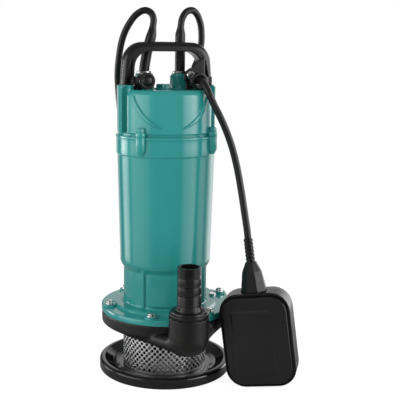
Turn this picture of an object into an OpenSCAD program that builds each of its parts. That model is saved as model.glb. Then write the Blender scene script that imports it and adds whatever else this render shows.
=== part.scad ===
// Submersible sump pump with a float switch, standing on the floor.
// X runs along the carrying handle, the discharge faces -Y and Z points up.
// The origin is the centre of the base plate's underside. Sizes are in millimetres.

/* [Base and strainer] */
// Outer diameter of the base plate
base_d = 159; // [146:1:176]
// Height of the base plate's rim
base_rim_h = 13.5; // [10:0.5:16]
// Thickness of the base plate's floor
base_floor_t = 5; // [4.5:0.5:7]
// Outer diameter of the strainer
strainer_d = 101; // [96:1:108]
// Height of the strainer between base plate and casing
strainer_h = 45; // [36:1:56]
// Thickness of the strainer's sheet
strainer_t = 1; // [0.6:0.1:1.4]
// Diameter of one hole of the strainer
strainer_hole_d = 3.8; // [2.5:0.1:4.2]
// Holes in one row around the strainer
strainer_holes = 32; // [20:1:36]
// Rows of holes
strainer_rows = 8; // [5:1:8]
// Diameter of the four stay bolts inside the strainer
stay_bolt_d = 5; // [4:0.5:6]

/* [Pump casing] */
// Outer diameter of the casing's rim
casing_d = 152; // [148:1:160]
// Thickness of the casing's floor around the suction eye
casing_floor_t = 4; // [3:0.5:6]
// Diameter of the impeller chamber
chamber_d = 118; // [112:1:122]
// Height of the impeller chamber
chamber_h = 14; // [13:0.5:20]
// Thickness of the seal plate that closes the chamber
seal_plate_t = 5.5; // [5:0.5:8]
// Diameter of the suction eye
suction_d = 40; // [34:1:44]
// Thickness of the casing gasket
gasket_t = 0.8; // [0.5:0.1:1.5]
// Diameter of the flange bolts' circle
bolt_circle_d = 137; // [134:0.5:139]
// Shank diameter of the flange bolts
flange_bolt_d = 6; // [5:0.5:6]

/* [Discharge] */
// Distance from the pump's axis to the discharge axis
elbow_reach = 92; // [88:1:98]
// Outer diameter of the elbow
elbow_d = 45; // [40:1:50]
// Height of the elbow's mouth above the casing's top
elbow_rise = 17.5; // [14:0.5:26]
// Depth of the elbow's bulb below the casing's floor
elbow_drop = 4; // [1:0.5:8]
// Outer diameter of the union nut at the foot of the hose tail
collar_d = 44; // [40:1:48]
// Height of the union nut
collar_h = 7; // [6:0.5:10]
// Outer diameter of the hose tail
hose_tail_d = 27; // [25:0.5:30]
// Bore of the hose tail
hose_bore_d = 21; // [18:0.5:22]
// Length of the hose tail above the union nut
hose_tail_h = 49.5; // [40:0.5:60]

/* [Motor housing] */
// Thickness of the housing's flange
flange_t = 10; // [8:0.5:14]
// Outer diameter of the narrow oil chamber part
oil_part_d = 100; // [98:0.5:104]
// Height of the narrow part above the flange
oil_part_h = 42; // [40:1:50]
// Outer diameter at the foot of the motor part
body_bottom_d = 108; // [106:0.5:112]
// Outer diameter at the top of the motor part
body_top_d = 114.6; // [113:0.2:118]
// Height of the motor part up to the band
body_h = 137; // [132:1:150]
// Outer diameter of the band under the parting line
band_d = 117; // [115.5:0.5:120]
// Height of the band
band_h = 22; // [18:0.5:26]
// Distance of the four cover bolts from the pump's axis
lug_r = 60; // [59.5:0.5:62]
// Diameter of the cover bolts' lugs
lug_d = 11; // [10:0.5:13]

/* [Motor] */
// Thickness of the housing's wall round the stator's foot
housing_wall = 5; // [3:0.5:6]
// Length of the stator core
stator_l = 75; // [60:1:84]
// Diameter of the rotor core
rotor_d = 53; // [46:1:56]
// Air gap between rotor and stator
air_gap = 0.4; // [0.3:0.05:0.8]
// Diameter of the shaft below the rotor
shaft_d = 16; // [15:0.5:16.5]
// Diameter of the shaft end that carries the impeller
shaft_end_d = 12; // [11:0.5:13]
// Diameter of the impeller
impeller_d = 104; // [90:1:108]
// Vanes of the impeller
impeller_vanes = 6; // [5:1:8]

/* [Top cover] */
// Outer diameter of the cover
cover_d = 115; // [112:0.5:118]
// Height of the cover's flat top above the parting line
cover_h = 52; // [50:0.5:60]
// Thickness of the cover's top
cover_top_t = 6; // [4:0.5:8]
// Height of the side shoulders above the flat top
shoulder_h = 5; // [2:0.5:5]
// Diameter of the capacitor
capacitor_d = 36; // [30:1:38]
// Length of the capacitor
capacitor_l = 66; // [50:1:74]

/* [Handle] */
// Width of the handle across its feet
handle_w = 114; // [108:1:114]
// Height of the handle above the cover's flat top
handle_h = 54.5; // [50:0.5:64]
// Thickness of the grip
grip_t = 11.5; // [9:0.5:14]
// Width of one leg
leg_w = 15; // [13:0.5:17]
// Depth of the handle from front to back
handle_depth = 19; // [16:0.5:20]
// Outer diameter of the two cable rings
ring_d = 19.6; // [17:0.2:21]
// Bore of the cable rings
ring_bore_d = 12; // [10:0.5:13]
// Length of the cable rings
ring_l = 18; // [14:0.5:20]

/* [Cables] */
// Diameter of both cables
cable_d = 8; // [7:0.5:8]
// Diameter of the rubber sleeves on the glands
sleeve_d = 12.2; // [10.5:0.1:12.4]
// Height of the gland nuts
gland_nut_h = 13; // [10:0.5:16]
// Distance between two turns of the stored coil
coil_step = 9.6; // [9.6:0.1:11]
// Distance between two layers of the stored coil
coil_rise = 9; // [9:0.1:10]
// Turns in one layer of the stored coil
coil_turns = 3.375; // [2.375:0.25:4.375]

/* [Float] */
// Width of the float
float_w = 81; // [74:1:88]
// Height of the float's body
float_h = 110; // [104:1:120]
// Thickness of the float
float_t = 38; // [36:1:44]
// Radius of the float's corners
float_corner_r = 22; // [16:1:24]
// Height of the float's neck
float_neck_h = 35; // [28:1:40]
// Diameter of the steel switch ball
ball_d = 14; // [12:0.5:14]
// Way of the ball in its tube
ball_travel = 29; // [20:1:30]

/* [Hidden] */

$fn = 64;

// Colours of the finishes
teal = [0.19, 0.54, 0.53];
black = [0.06, 0.06, 0.06];
soft_black = [0.15, 0.15, 0.145];
rubber_black = [0.1, 0.1, 0.1];
steel = [0.78, 0.78, 0.77];
cast_metal = [0.62, 0.63, 0.64];
copper = [0.72, 0.4, 0.2];
brass = [0.8, 0.65, 0.3];
carbon = [0.2, 0.2, 0.22];

// Clearances: pieces that slide into one another, and threads in their holes
seat_gap = 0.1;
thread_gap = 0.05;
face_gap = 0.1;
cut = 1;

// Heights of the stack, from the floor up
casing_z = base_floor_t + strainer_h;
chamber_z = casing_z + casing_floor_t;
seal_plate_z = chamber_z + chamber_h;
casing_top_z = seal_plate_z + seal_plate_t;
flange_z = casing_top_z + gasket_t;
oil_part_z = flange_z + flange_t;
body_z = oil_part_z + oil_part_h;
band_z = body_z + body_h;
parting_z = band_z + band_h;
cover_top_z = parting_z + cover_h;
elbow_top_z = casing_top_z + elbow_rise;
collar_top_z = elbow_top_z + collar_h;

// Base plate
rim_round = 5;
floor_slope_w = 8;
locating_ring_h = 3;
locating_ring_t = 3;
stay_boss_d = 15;
stay_boss_h = 9.5;
stay_circle_d = 76;
stay_head_d = 9.5;
stay_head_h = 4;
stay_tip_gap = 0.6;

// Casing
casing_rim_h = 14.5;
casing_under_d = 124;
casing_spigot_h = 4;
casing_spigot_t = 4;
elbow_round = 20;
elbow_gap = 0.8;
arm_low_r = 10;
arm_low_side_r = 8;
arm_high_r = 19.5;
arm_high_side_r = 11;
passage_d = 15;
tail_foot_t = 3;
thread_rows = 5;
thread_pitch = 2;
bolt_angles = [180, -120, -60, 60, 120];
bolt_thread_l = 12;
bolt_head_h = 4;
bolt_head_d = 10;
lobe_angle = 11;
lobe_r = 78;
lobe_d = 19;
earth_angle = -3;
earth_r = 61;
earth_d = 5;
earth_depth = 7;

// Impeller and seal
impeller_gap = 1;
shroud_t = 2;
hub_d = 26;
eye_d = 37;
vane_t = 3;
impeller_z = chamber_z + impeller_gap;
impeller_h = chamber_h - 2 * impeller_gap;
hub_top_z = impeller_z + impeller_h;
impeller_nut_h = 7;
key_w = 4;
key_h = 4;
seat_d = 28;
seat_h = 6;
seat_z = seal_plate_z + 1;
seal_face_d = 25;
seal_face_h = 4;
seal_face_z = seat_z + seat_h + face_gap;
spring_z = seal_face_z + seal_face_h;
spring_h = 16;
spring_wire_d = 1.8;
spring_turns = 5;
spring_d = 21;

// Bearings: bore, outer diameter, width, ball diameter
lower_bearing = [17, 40, 12, 6.6];
upper_bearing = [15, 35, 11, 5.8];
ball_count = 8;
ball_gap = 0.15;
web_t = 21;
web_z = body_z - web_t;
lip_seal_h = 7;
lower_bearing_z = web_z + lip_seal_h + 2;
bracket_t = 5;
bracket_boss_d = 46;
bracket_boss_h = upper_bearing[2] + 8;
upper_bearing_z = band_z;
stator_d = body_bottom_d - 2 * housing_wall;
stator_floor_z = body_z + max(0, (stator_d - oil_part_d) / 2 + 1);
stator_bore_d = rotor_d + 2 * air_gap;
stator_z = body_z + (body_h - stator_l) / 2 - 6;
winding_h = 16;
winding_gap = 0.5;
core_seat_d = 20;
end_ring_h = 6;

// Cover
spigot_h = band_h - bracket_t;
spigot_t = 5.5;
recess_wall_d = 106;
cover_wall = 6;
front_angle = -100;
panel_half_angle = 56.5;
channel_angle = 16.5;
channel_depth = 2.2;
shoulder_w = 7.5;
cover_seam_h = 3;
crescent_top_x = 43.4;
crescent_tip_x = 17.9;
crescent_drop = 3;
crescent_rise = 11.9;
crescent_outer_r = 40;
crescent_inner_r = 60;
crescent_relief = 0.8;
gland_x = 22;
gland_y = 17;
gland_boss_d = 24;
gland_boss_h = 4;
gland_nut_d = 24;
gland_washer_t = 1.5;
sleeve_ledge = 0.7;
gland_washer_d = 18;
gland_top_z = cover_top_z + gland_boss_h + gland_nut_h + gland_washer_t;
filler_x = -4;
filler_d = 18;
filler_h = 6;
cover_bolt_d = 6;
cover_lug_h = 6;
cover_head_d = 9.5;
cover_head_h = 4.5;
capacitor_y = -4;
capacitor_lift = 3;

// Handle
corner_r = 20;
inner_corner_r = 12;
foot_screw_x = 35.5;
foot_screw_y = -3.5;
foot_tab_t = 4;
ring_x = 31;
ring_z = cover_top_z + ring_d / 2 + 0.2;
ring_back_y = -12;
ring_front_y = ring_back_y - ring_l;
clamp_ring_l = 10;
ring_web_h = 9;
clamp_front_y = -12.5;
clamp_t = 4;
clamp_screw_x = 26.2;
clamp_screw_z = cover_top_z + 15.1;
clamp_screw_d = 5;
clamp_boss_r = 9.6;

// Float
float_yaw = -32;
float_lean = 8;
float_x = 94;
float_y = -92;
float_edge_r = 6;
seam_front_y = -3;
seam_back_y = 1;
seam_inset = 2.5;
float_wall = 4;
cavity_w = float_w - 19;
cavity_z = 10;
cavity_h = float_h - 20;
relief_h = 26;
relief_d = 10.4;
neck_base_d = 29;
weight_h = 7;
tube_z = cavity_z + weight_h;
tube_floor_t = 2;
tube_wall = 2.3;
ball_play = 0.2;
ball_z = tube_z + tube_floor_t + ball_d / 2 + face_gap;
ball_reach = 4;
tube_h = tube_floor_t + ball_d + ball_travel - ball_reach;
switch_z = tube_z + tube_h + ball_reach + 2.3;
switch_w = 28;
switch_h = 15;
switch_t = 10;
lever_x = 11;
lever_z = switch_z - 2;
lever_l = 20;
lever_pin_d = 2;

// Lift of the leaning float, so that its lowest point stands on the floor
float_z = float_corner_r * (1 - cos(float_lean)) + (float_w / 2 - float_corner_r) * sin(float_lean);

// Points of an arc about a centre
function arc(cx, cy, r, a0, a1, n) =
    [for (i = [0 : n]) let (a = a0 + (a1 - a0) * i / n) [cx + r * cos(a), cy + r * sin(a)]];

// Point between p1 and p2 on the smooth curve that runs through all four points
function smooth(p0, p1, p2, p3, t) =
    0.5 * (2 * p1 + (p2 - p0) * t + (2 * p0 - 5 * p1 + 4 * p2 - p3) * t * t
        + (3 * p1 - p0 - 3 * p2 + p3) * t * t * t);

// Smooth route through hand-set points, with a number of steps for each stretch
function route(p, steps) = let (n = len(p)) concat(
    [for (i = [0 : n - 2], k = [0 : steps - 1])
        smooth(p[max(i - 1, 0)], p[i], p[i + 1], p[min(i + 2, n - 1)], k / steps)],
    [p[n - 1]]);

function unit(v) = v / norm(v);

// Direction of a route at point i
function heading(p, i) = unit(p[min(i + 1, len(p) - 1)] - p[max(i - 1, 0)]);

// Part of v that is square to t, one unit long
function square_to(v, t) = unit(v - (v * t) * t);

// Tube along a route: the side vector is carried from ring to ring, so the tube doesn't twist
module tube(p, radius, sides, side = [1, 0, 0]) {
    n = len(p);
    carried = [for (i = 0, s = square_to(side, heading(p, 0)); i < n;
        i = i + 1, s = square_to(s, heading(p, min(i, n - 1)))) s];
    points = [for (i = [0 : n - 1], k = [0 : sides - 1])
        let (t = heading(p, i), u = carried[i], v = cross(t, u), a = 360 * k / sides,
            r = is_list(radius) ? radius[i] : radius)
        p[i] + r * (cos(a) * u + sin(a) * v)];
    walls = [for (i = [0 : n - 2], k = [0 : sides - 1], half = [0, 1])
        let (a = i * sides + k, b = i * sides + (k + 1) % sides)
        half == 0 ? [a, a + sides, b] : [b, a + sides, b + sides]];
    ends = [[for (k = [0 : sides - 1]) k], [for (k = [sides - 1 : -1 : 0]) (n - 1) * sides + k]];
    polyhedron(points, concat(walls, ends));
}

// Length of a route
function length_of(p) =
    [for (i = [1 : len(p) - 1]) norm(p[i] - p[i - 1])] * [for (i = [1 : len(p) - 1]) 1];

module ring(outer_d, inner_d, h) {
    difference() {
        cylinder(d = outer_d, h = h);
        translate([0, 0, -cut]) cylinder(d = inner_d, h = h + 2 * cut);
    }
}

// Hexagon nut or bolt head, given across its corners
module hexagon(d, h) {
    cylinder(d = d, h = h, $fn = 6);
}

module at_polar(angle, r, z) {
    rotate([0, 0, angle]) translate([r, 0, z]) children();
}

// Wedge that spans two angles, as a flat outline
module wedge(a0, a1, r) {
    polygon(concat([[0, 0]], arc(0, 0, r, a0, a1, 8)));
}

// ---------- base and strainer ----------

module base_plate() {
    r = base_d / 2;
    floor_r = strainer_d / 2 + 4;
    color(black) difference() {
        union() {
            rotate_extrude() polygon(concat(
                [[0, 0], [r - 1, 0], [r - 0.3, 0.3], [r, 1]],
                arc(r - rim_round, base_rim_h - rim_round - 1, rim_round, 0, 90, 6),
                [[r - rim_round - 3, base_rim_h - 2.2], [floor_r + floor_slope_w, base_floor_t + 1],
                    [floor_r, base_floor_t], [0, base_floor_t]]));
            translate([0, 0, base_floor_t - cut / 2])
                ring(strainer_d - 2 * strainer_t - 2 * seat_gap,
                    strainer_d - 2 * strainer_t - 2 * locating_ring_t, locating_ring_h + cut / 2);
            for (a = [45 : 90 : 315]) at_polar(a, stay_circle_d / 2, cut)
                cylinder(d = stay_boss_d, h = stay_boss_h - cut);
        }
        for (a = [45 : 90 : 315]) at_polar(a, stay_circle_d / 2, -cut) {
            cylinder(d = stay_head_d + 1, h = stay_head_h + cut + 0.5);
            cylinder(d = stay_bolt_d + 2 * seat_gap, h = stay_boss_h + 2 * cut);
        }
    }
}

module base_bolts() {
    tip_z = casing_z + casing_floor_t - 1 - stay_tip_gap;
    color(steel) for (a = [45 : 90 : 315]) at_polar(a, stay_circle_d / 2, 0) {
        translate([0, 0, 0.5]) difference() {
            cylinder(d = stay_head_d, h = stay_head_h);
            translate([0, 0, -cut]) hexagon(4.6, 2 + cut);
        }
        translate([0, 0, stay_head_h]) cylinder(d = stay_bolt_d, h = tip_z - stay_head_h);
    }
}

module strainer() {
    margin = strainer_hole_d / 2 + 2.4;
    row_step = (strainer_h - 2 * margin) / (strainer_rows - 1);
    color(steel) difference() {
        translate([0, 0, base_floor_t]) ring(strainer_d, strainer_d - 2 * strainer_t, strainer_h);
        for (row = [0 : strainer_rows - 1], i = [0 : strainer_holes - 1])
            rotate([0, 0, (i + (row % 2) / 2) * 360 / strainer_holes])
                translate([strainer_d / 2 - strainer_t - cut, 0, base_floor_t + margin + row * row_step])
                    rotate([0, 90, 0]) cylinder(d = strainer_hole_d, h = strainer_t + 2 * cut);
    }
}

// ---------- pump casing ----------

// Round outline with the ear for the sixth bolt
module eared_disc(d) {
    r = d / 2;
    ear_r = lobe_d / 2;
    tangent = acos((r - ear_r) / lobe_r);
    web_r = r - 0.2;
    web_ear_r = ear_r - 0.2;
    circle(r = r);
    rotate(lobe_angle) {
        translate([lobe_r, 0]) circle(r = ear_r);
        polygon([[0, 0], web_r * [cos(tangent), -sin(tangent)],
            [lobe_r + web_ear_r * cos(tangent), -web_ear_r * sin(tangent)],
            [lobe_r + web_ear_r * cos(tangent), web_ear_r * sin(tangent)],
            web_r * [cos(tangent), sin(tangent)]]);
    }
}

module bolt_pattern() {
    for (a = bolt_angles) at_polar(a, bolt_circle_d / 2, 0) children();
    at_polar(lobe_angle, lobe_r, 0) children();
}

// Channel that swells from the casing's side into the elbow, level with the elbow's foot
module volute_arm(angle, side_r, end_r, tall) {
    end_x = sign(cos(angle)) * (elbow_d / 2 - end_r - 1);
    hull() {
        translate([end_x, -elbow_reach, casing_z - elbow_drop + end_r]) sphere(r = end_r, $fn = 32);
        at_polar(angle, casing_d / 2 - 16, casing_z + side_r) sphere(r = side_r, $fn = 24);
        if (tall) {
            translate([end_x, -elbow_reach, casing_top_z - 4]) cylinder(r = end_r, h = 3, $fn = 32);
            at_polar(angle, casing_d / 2 - 16, casing_top_z - 4) cylinder(r = side_r, h = 3, $fn = 24);
        }
    }
}

module pump_casing() {
    r = casing_d / 2;
    under_r = casing_under_d / 2;
    rim_z = casing_top_z - casing_rim_h;
    spigot_d = strainer_d - 2 * strainer_t - 2 * seat_gap;
    elbow_z = casing_z - elbow_drop;
    color(soft_black) difference() {
        union() {
            rotate_extrude() polygon(concat(
                [[0, casing_z], [strainer_d / 2 + 1.5, casing_z], [under_r, casing_z + 1.5]],
                arc(r - 4, rim_z + 3, 4, -50, 0, 4),
                [[r, casing_top_z], [0, casing_top_z]]));
            translate([0, 0, rim_z + 1]) linear_extrude(casing_top_z - rim_z - 1) eared_disc(casing_d);
            translate([0, 0, casing_z - casing_spigot_h])
                ring(spigot_d, spigot_d - 2 * casing_spigot_t, casing_spigot_h + cut);
            for (a = [45 : 90 : 315]) at_polar(a, stay_circle_d / 2, casing_z - casing_spigot_h)
                cylinder(d = stay_boss_d, h = casing_spigot_h + cut);
            translate([0, -elbow_reach, 0]) rotate_extrude() polygon(concat(
                [[0, elbow_z]],
                arc(elbow_d / 2 - elbow_round, elbow_z + elbow_round, elbow_round, -90, 0, 6),
                [[elbow_d / 2, elbow_top_z - 1], [elbow_d / 2 - 1, elbow_top_z], [0, elbow_top_z]]));
            intersection() {
                union() {
                    volute_arm(-142, arm_low_side_r, arm_low_r, false);
                    volute_arm(-30, arm_high_side_r, arm_high_r, true);
                }
                translate([0, 0, casing_top_z - casing_d]) cylinder(r = casing_d, h = casing_d);
            }
        }
        translate([0, 0, casing_z - casing_spigot_h - cut]) cylinder(d = suction_d, h = 30);
        translate([0, 0, chamber_z]) cylinder(d = chamber_d, h = 60);
        translate([0, 0, seal_plate_z]) cylinder(d = chamber_d + 8, h = 60);
        translate([0, -elbow_reach, chamber_z + passage_d / 2]) {
            rotate([-90, 0, 0]) cylinder(d = passage_d, h = elbow_reach - chamber_d / 2 + 6);
            cylinder(d = hose_bore_d + 1, h = 60);
            sphere(d = hose_bore_d + 1);
        }
        translate([0, 0, casing_top_z - bolt_thread_l]) bolt_pattern()
            cylinder(d = flange_bolt_d + 2 * thread_gap, h = bolt_thread_l + cut);
        for (a = [45 : 90 : 315]) at_polar(a, stay_circle_d / 2, casing_z - casing_spigot_h - cut)
            cylinder(d = stay_bolt_d + 2 * thread_gap, h = cut + casing_spigot_h + casing_floor_t - 1);
    }
}

module casing_gasket() {
    color(carbon) translate([0, 0, casing_top_z]) difference() {
        linear_extrude(gasket_t) eared_disc(casing_d);
        translate([0, 0, -cut]) cylinder(d = chamber_d - 2, h = gasket_t + 2 * cut);
        translate([0, 0, -cut]) bolt_pattern() cylinder(d = flange_bolt_d + 1, h = gasket_t + 2 * cut);
        translate([0, -elbow_reach, -cut]) cylinder(d = elbow_d + 2 * elbow_gap, h = gasket_t + 2 * cut);
    }
}

module seal_plate() {
    color(cast_metal) difference() {
        translate([0, 0, seal_plate_z]) cylinder(d = chamber_d + 8 - 2 * seat_gap, h = seal_plate_t);
        translate([0, 0, seal_plate_z - cut]) cylinder(d = shaft_d + 5, h = 3 * cut);
        translate([0, 0, seat_z]) cylinder(d = seat_d, h = seal_plate_t);
    }
}

module seal_seat() {
    color([0.9, 0.88, 0.84]) translate([0, 0, seat_z]) ring(seat_d, shaft_d + 1.4, seat_h);
}

// ---------- discharge ----------

module hose_tail() {
    r = hose_tail_d / 2;
    lands = 3;
    land_z = collar_top_z + 2.5;
    top_z = collar_top_z + hose_tail_h;
    ridge_z = top_z - thread_rows * thread_pitch - 1;
    land_step = (ridge_z - land_z) / lands;
    color(black) difference() {
        rotate_extrude_at_elbow(concat(
            [[0, elbow_top_z], [collar_d / 2 - 4, elbow_top_z], [collar_d / 2 - 4, elbow_top_z + tail_foot_t],
                [r + 2, elbow_top_z + tail_foot_t], [r + 2, collar_top_z + 1.5], [r, land_z]],
            [for (i = [0 : lands - 1], k = [0 : 2]) let (z = land_z + (i + 1) * land_step)
                k == 0 ? [r, z - 1.6] : k == 1 ? [r - 0.7, z - 1.2] : [r - 0.7, z - 0.2]],
            [for (i = [0 : thread_rows - 1], k = [0 : 3]) let (z = ridge_z + i * thread_pitch)
                k == 0 ? [r - 0.7, z] : k == 1 ? [r, z + 0.6] : k == 2 ? [r, z + thread_pitch - 0.8]
                    : [r - 0.7, z + thread_pitch - 0.3]],
            [[r - 0.9, top_z], [0, top_z]]));
        translate([0, -elbow_reach, elbow_top_z - cut]) cylinder(d = hose_bore_d, h = 200);
    }
}

module rotate_extrude_at_elbow(profile) {
    translate([0, -elbow_reach, 0]) rotate_extrude() polygon(profile);
}

module hose_collar() {
    bore_r = hose_tail_d / 2 + 2 + seat_gap;
    foot_r = collar_d / 2 - 4 + seat_gap;
    r = collar_d / 2;
    color(soft_black) rotate_extrude_at_elbow([[foot_r, elbow_top_z], [r - 0.6, elbow_top_z],
        [r, elbow_top_z + 0.6], [r, collar_top_z - 3.2], [r - 1, collar_top_z - 2.4],
        [r - 2, collar_top_z - 2.2], [r - 2, collar_top_z - 0.6], [r - 2.6, collar_top_z],
        [bore_r, collar_top_z], [bore_r, elbow_top_z + tail_foot_t + seat_gap],
        [foot_r, elbow_top_z + tail_foot_t + seat_gap]]);
}

// ---------- motor housing ----------

module housing_lug() {
    cylinder(d = lug_d, h = 15);
    translate([0, 0, -5]) cylinder(d1 = lug_d - 5, d2 = lug_d, h = 5);
    translate([-12, -lug_d / 2 + 1, -2]) cube([12, lug_d - 2, 17]);
}

module motor_housing() {
    step_h = 8;
    lip_h = flange_t - 3.5;
    flange_d = casing_d + 1.5;
    color(teal) difference() {
        union() {
            translate([0, 0, flange_z]) linear_extrude(lip_h - 1) eared_disc(flange_d);
            translate([0, 0, flange_z + lip_h - 1]) linear_extrude(1) eared_disc(flange_d - 1.6);
            translate([0, 0, flange_z]) cylinder(d = bolt_circle_d - 14, h = flange_t);
            translate([0, 0, flange_z]) bolt_pattern() cylinder(d = bolt_head_d + 5, h = flange_t - 1);
            rotate_extrude() polygon(concat([[0, flange_z],
                [oil_part_d / 2 + 5, oil_part_z - cut], [oil_part_d / 2 + 5, oil_part_z]],
                [for (p = arc(oil_part_d / 2 + 5, oil_part_z + 5, 5, 270, 180, 5)) p],
                [[oil_part_d / 2, body_z], [body_bottom_d / 2 - 1, body_z + step_h - 2],
                    [body_bottom_d / 2, body_z + step_h], [body_top_d / 2, band_z - 1],
                    [band_d / 2 - 0.5, band_z], [band_d / 2, band_z + 0.6], [band_d / 2, parting_z - 3.2],
                    [band_d / 2 + 0.7, parting_z - 2.6], [band_d / 2 + 0.7, parting_z - 0.7],
                    [band_d / 2, parting_z], [0, parting_z]]));
            translate([0, 0, oil_part_z - cut]) intersection() {
                cylinder(d = oil_part_d + 3.4, h = oil_part_h - 2 + cut);
                linear_extrude(oil_part_h) wedge(-129, -51, oil_part_d);
            }
            for (a = [-137, -43, 45, 135]) at_polar(a, oil_part_d / 2 - 0.6, oil_part_z - cut)
                cylinder(r = 3, h = oil_part_h + 2);
            for (a = [45 : 90 : 315]) at_polar(a, lug_r, parting_z - 15) housing_lug();
        }
        translate([0, 0, flange_z - cut]) cylinder(d = oil_part_d - 13, h = web_z - flange_z + cut);
        translate([0, 0, web_z - cut]) cylinder(d = seat_d, h = lip_seal_h + cut);
        translate([0, 0, web_z]) cylinder(d = lower_bearing[0] + 9, h = web_t);
        translate([0, 0, lower_bearing_z]) cylinder(d = lower_bearing[1], h = web_t);
        translate([0, 0, stator_floor_z]) cylinder(d = stator_d, h = parting_z - stator_floor_z + cut);
        translate([0, 0, band_z]) cylinder(d = recess_wall_d, h = band_h + cut);
        translate([0, 0, flange_z - cut]) bolt_pattern()
            cylinder(d = flange_bolt_d + 2 * seat_gap, h = flange_t + 2 * cut);
        for (a = [45 : 90 : 315]) at_polar(a, lug_r, parting_z - 14)
            cylinder(d = cover_bolt_d + 2 * thread_gap, h = 14 + cut);
        at_polar(earth_angle, earth_r, oil_part_z - earth_depth) cylinder(d = earth_d, h = earth_depth + cut);
        translate([0, -elbow_reach, flange_z - cut])
            cylinder(d = elbow_d + 2 * elbow_gap, h = flange_t + cut);
    }
}

module flange_bolts() {
    head_z = oil_part_z - 1;
    color(steel) bolt_pattern() difference() {
        union() {
            translate([0, 0, head_z]) cylinder(d = bolt_head_d, h = 0.8);
            translate([0, 0, head_z]) hexagon(bolt_head_d - 1, bolt_head_h);
            translate([0, 0, casing_top_z - bolt_thread_l + 1])
                cylinder(d = flange_bolt_d, h = head_z - casing_top_z + bolt_thread_l - 0.5);
        }
    }
}

module earth_screw() {
    color(steel) at_polar(earth_angle, earth_r, oil_part_z) difference() {
        union() {
            cylinder(d = earth_d + 3.5, h = 2.6);
            translate([0, 0, 1 - earth_depth]) cylinder(d = earth_d - 2 * thread_gap, h = earth_depth);
        }
        translate([-5, -0.6, 1.4]) cube([10, 1.2, 2]);
    }
}

// ---------- motor ----------

module lip_seal() {
    color(rubber_black) translate([0, 0, web_z]) difference() {
        cylinder(d = seat_d - 2 * seat_gap, h = lip_seal_h);
        translate([0, 0, -cut]) cylinder(d = shaft_d + 4, h = lip_seal_h);
        translate([0, 0, -cut]) cylinder(d = shaft_d + 1, h = lip_seal_h + 2 * cut);
    }
}

// Outer or inner ring of a ball bearing, with its groove
module bearing_ring(size, outer) {
    pitch_r = (size[0] + size[1]) / 4;
    groove_r = size[3] / 2 + ball_gap;
    color(steel) rotate_extrude() difference() {
        translate([outer ? pitch_r + 1.9 : size[0] / 2, 0])
            square([outer ? size[1] / 2 - pitch_r - 1.9 : pitch_r - 1.9 - size[0] / 2, size[2]]);
        translate([pitch_r, size[2] / 2]) circle(r = groove_r);
    }
}

module bearing_balls(size) {
    color(steel) for (i = [0 : ball_count - 1])
        at_polar(i * 360 / ball_count, (size[0] + size[1]) / 4, size[2] / 2) sphere(d = size[3]);
}

module lower_bearing_outer() translate([0, 0, lower_bearing_z]) bearing_ring(lower_bearing, true);
module lower_bearing_inner() translate([0, 0, lower_bearing_z]) bearing_ring(lower_bearing, false);
module lower_bearing_balls() translate([0, 0, lower_bearing_z]) bearing_balls(lower_bearing);
module upper_bearing_outer() translate([0, 0, upper_bearing_z]) bearing_ring(upper_bearing, true);
module upper_bearing_inner() translate([0, 0, upper_bearing_z]) bearing_ring(upper_bearing, false);
module upper_bearing_balls() translate([0, 0, upper_bearing_z]) bearing_balls(upper_bearing);

module stator_core() {
    slots = 12;
    color(cast_metal) difference() {
        translate([0, 0, stator_z]) ring(stator_d, stator_bore_d, stator_l);
        for (i = [0 : slots - 1]) at_polar((i + 0.5) * 360 / slots, stator_bore_d / 2 + 2, stator_z - cut)
            translate([0, -3, 0]) cube([11, 6, stator_l + 2 * cut]);
    }
}

module end_windings() {
    r0 = stator_bore_d / 2 + 2;
    r1 = stator_d / 2 - 4;
    profile = concat([[r0, 0], [r1, 0]], arc(r1 - 4, winding_h - 4, 4, 0, 90, 4),
        arc(r0 + 4, winding_h - 4, 4, 90, 180, 4));
    color(copper) {
        translate([0, 0, stator_z + stator_l]) rotate_extrude() polygon(profile);
        translate([0, 0, stator_z]) mirror([0, 0, 1]) rotate_extrude() polygon(profile);
    }
}

module shaft() {
    end_z = impeller_z - impeller_nut_h - 3;
    color(steel) difference() {
        union() {
            translate([0, 0, end_z]) cylinder(d = shaft_end_d, h = hub_top_z - end_z);
            translate([0, 0, hub_top_z]) cylinder(d = shaft_d, h = lower_bearing_z - hub_top_z);
            translate([0, 0, spring_z + spring_h]) cylinder(d = shaft_d + 8, h = 3);
            translate([0, 0, lower_bearing_z])
                cylinder(d = lower_bearing[0], h = lower_bearing[2]);
            translate([0, 0, lower_bearing_z + lower_bearing[2]])
                cylinder(d = core_seat_d, h = upper_bearing_z - lower_bearing_z - lower_bearing[2]);
            translate([0, 0, upper_bearing_z]) cylinder(d = upper_bearing[0], h = upper_bearing[2] + 1);
        }
        translate([-key_w / 2, shaft_end_d / 2 - key_h / 2, impeller_z + 2])
            cube([key_w, key_h, impeller_h - 2]);
    }
}

module shaft_key() {
    color(steel) translate([0, shaft_end_d / 2 - key_h / 2 + thread_gap, impeller_z + 2])
        translate([-key_w / 2 + thread_gap, 0, 0])
            cube([key_w - 2 * thread_gap, key_h - 2 * thread_gap, impeller_h - 2]);
}

module rotor_core() {
    color(cast_metal) {
        translate([0, 0, stator_z]) ring(rotor_d, core_seat_d, stator_l);
        translate([0, 0, stator_z - end_ring_h]) ring(rotor_d - 4, core_seat_d + 8, end_ring_h);
        translate([0, 0, stator_z + stator_l]) ring(rotor_d - 4, core_seat_d + 8, end_ring_h);
    }
}

// Backward-curved vane: a strip of a ring that runs from the eye to the rim
module vane() {
    vane_r = impeller_d * 0.36;
    inner_r = eye_d / 2 - 3;
    intersection() {
        translate([inner_r - vane_r * 0.28, vane_r * 0.96]) difference() {
            circle(r = vane_r + vane_t / 2);
            circle(r = vane_r - vane_t / 2);
        }
        difference() {
            circle(d = impeller_d - 0.5);
            circle(r = inner_r);
        }
        translate([0, -vane_t]) square([impeller_d, impeller_d]);
    }
}

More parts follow.
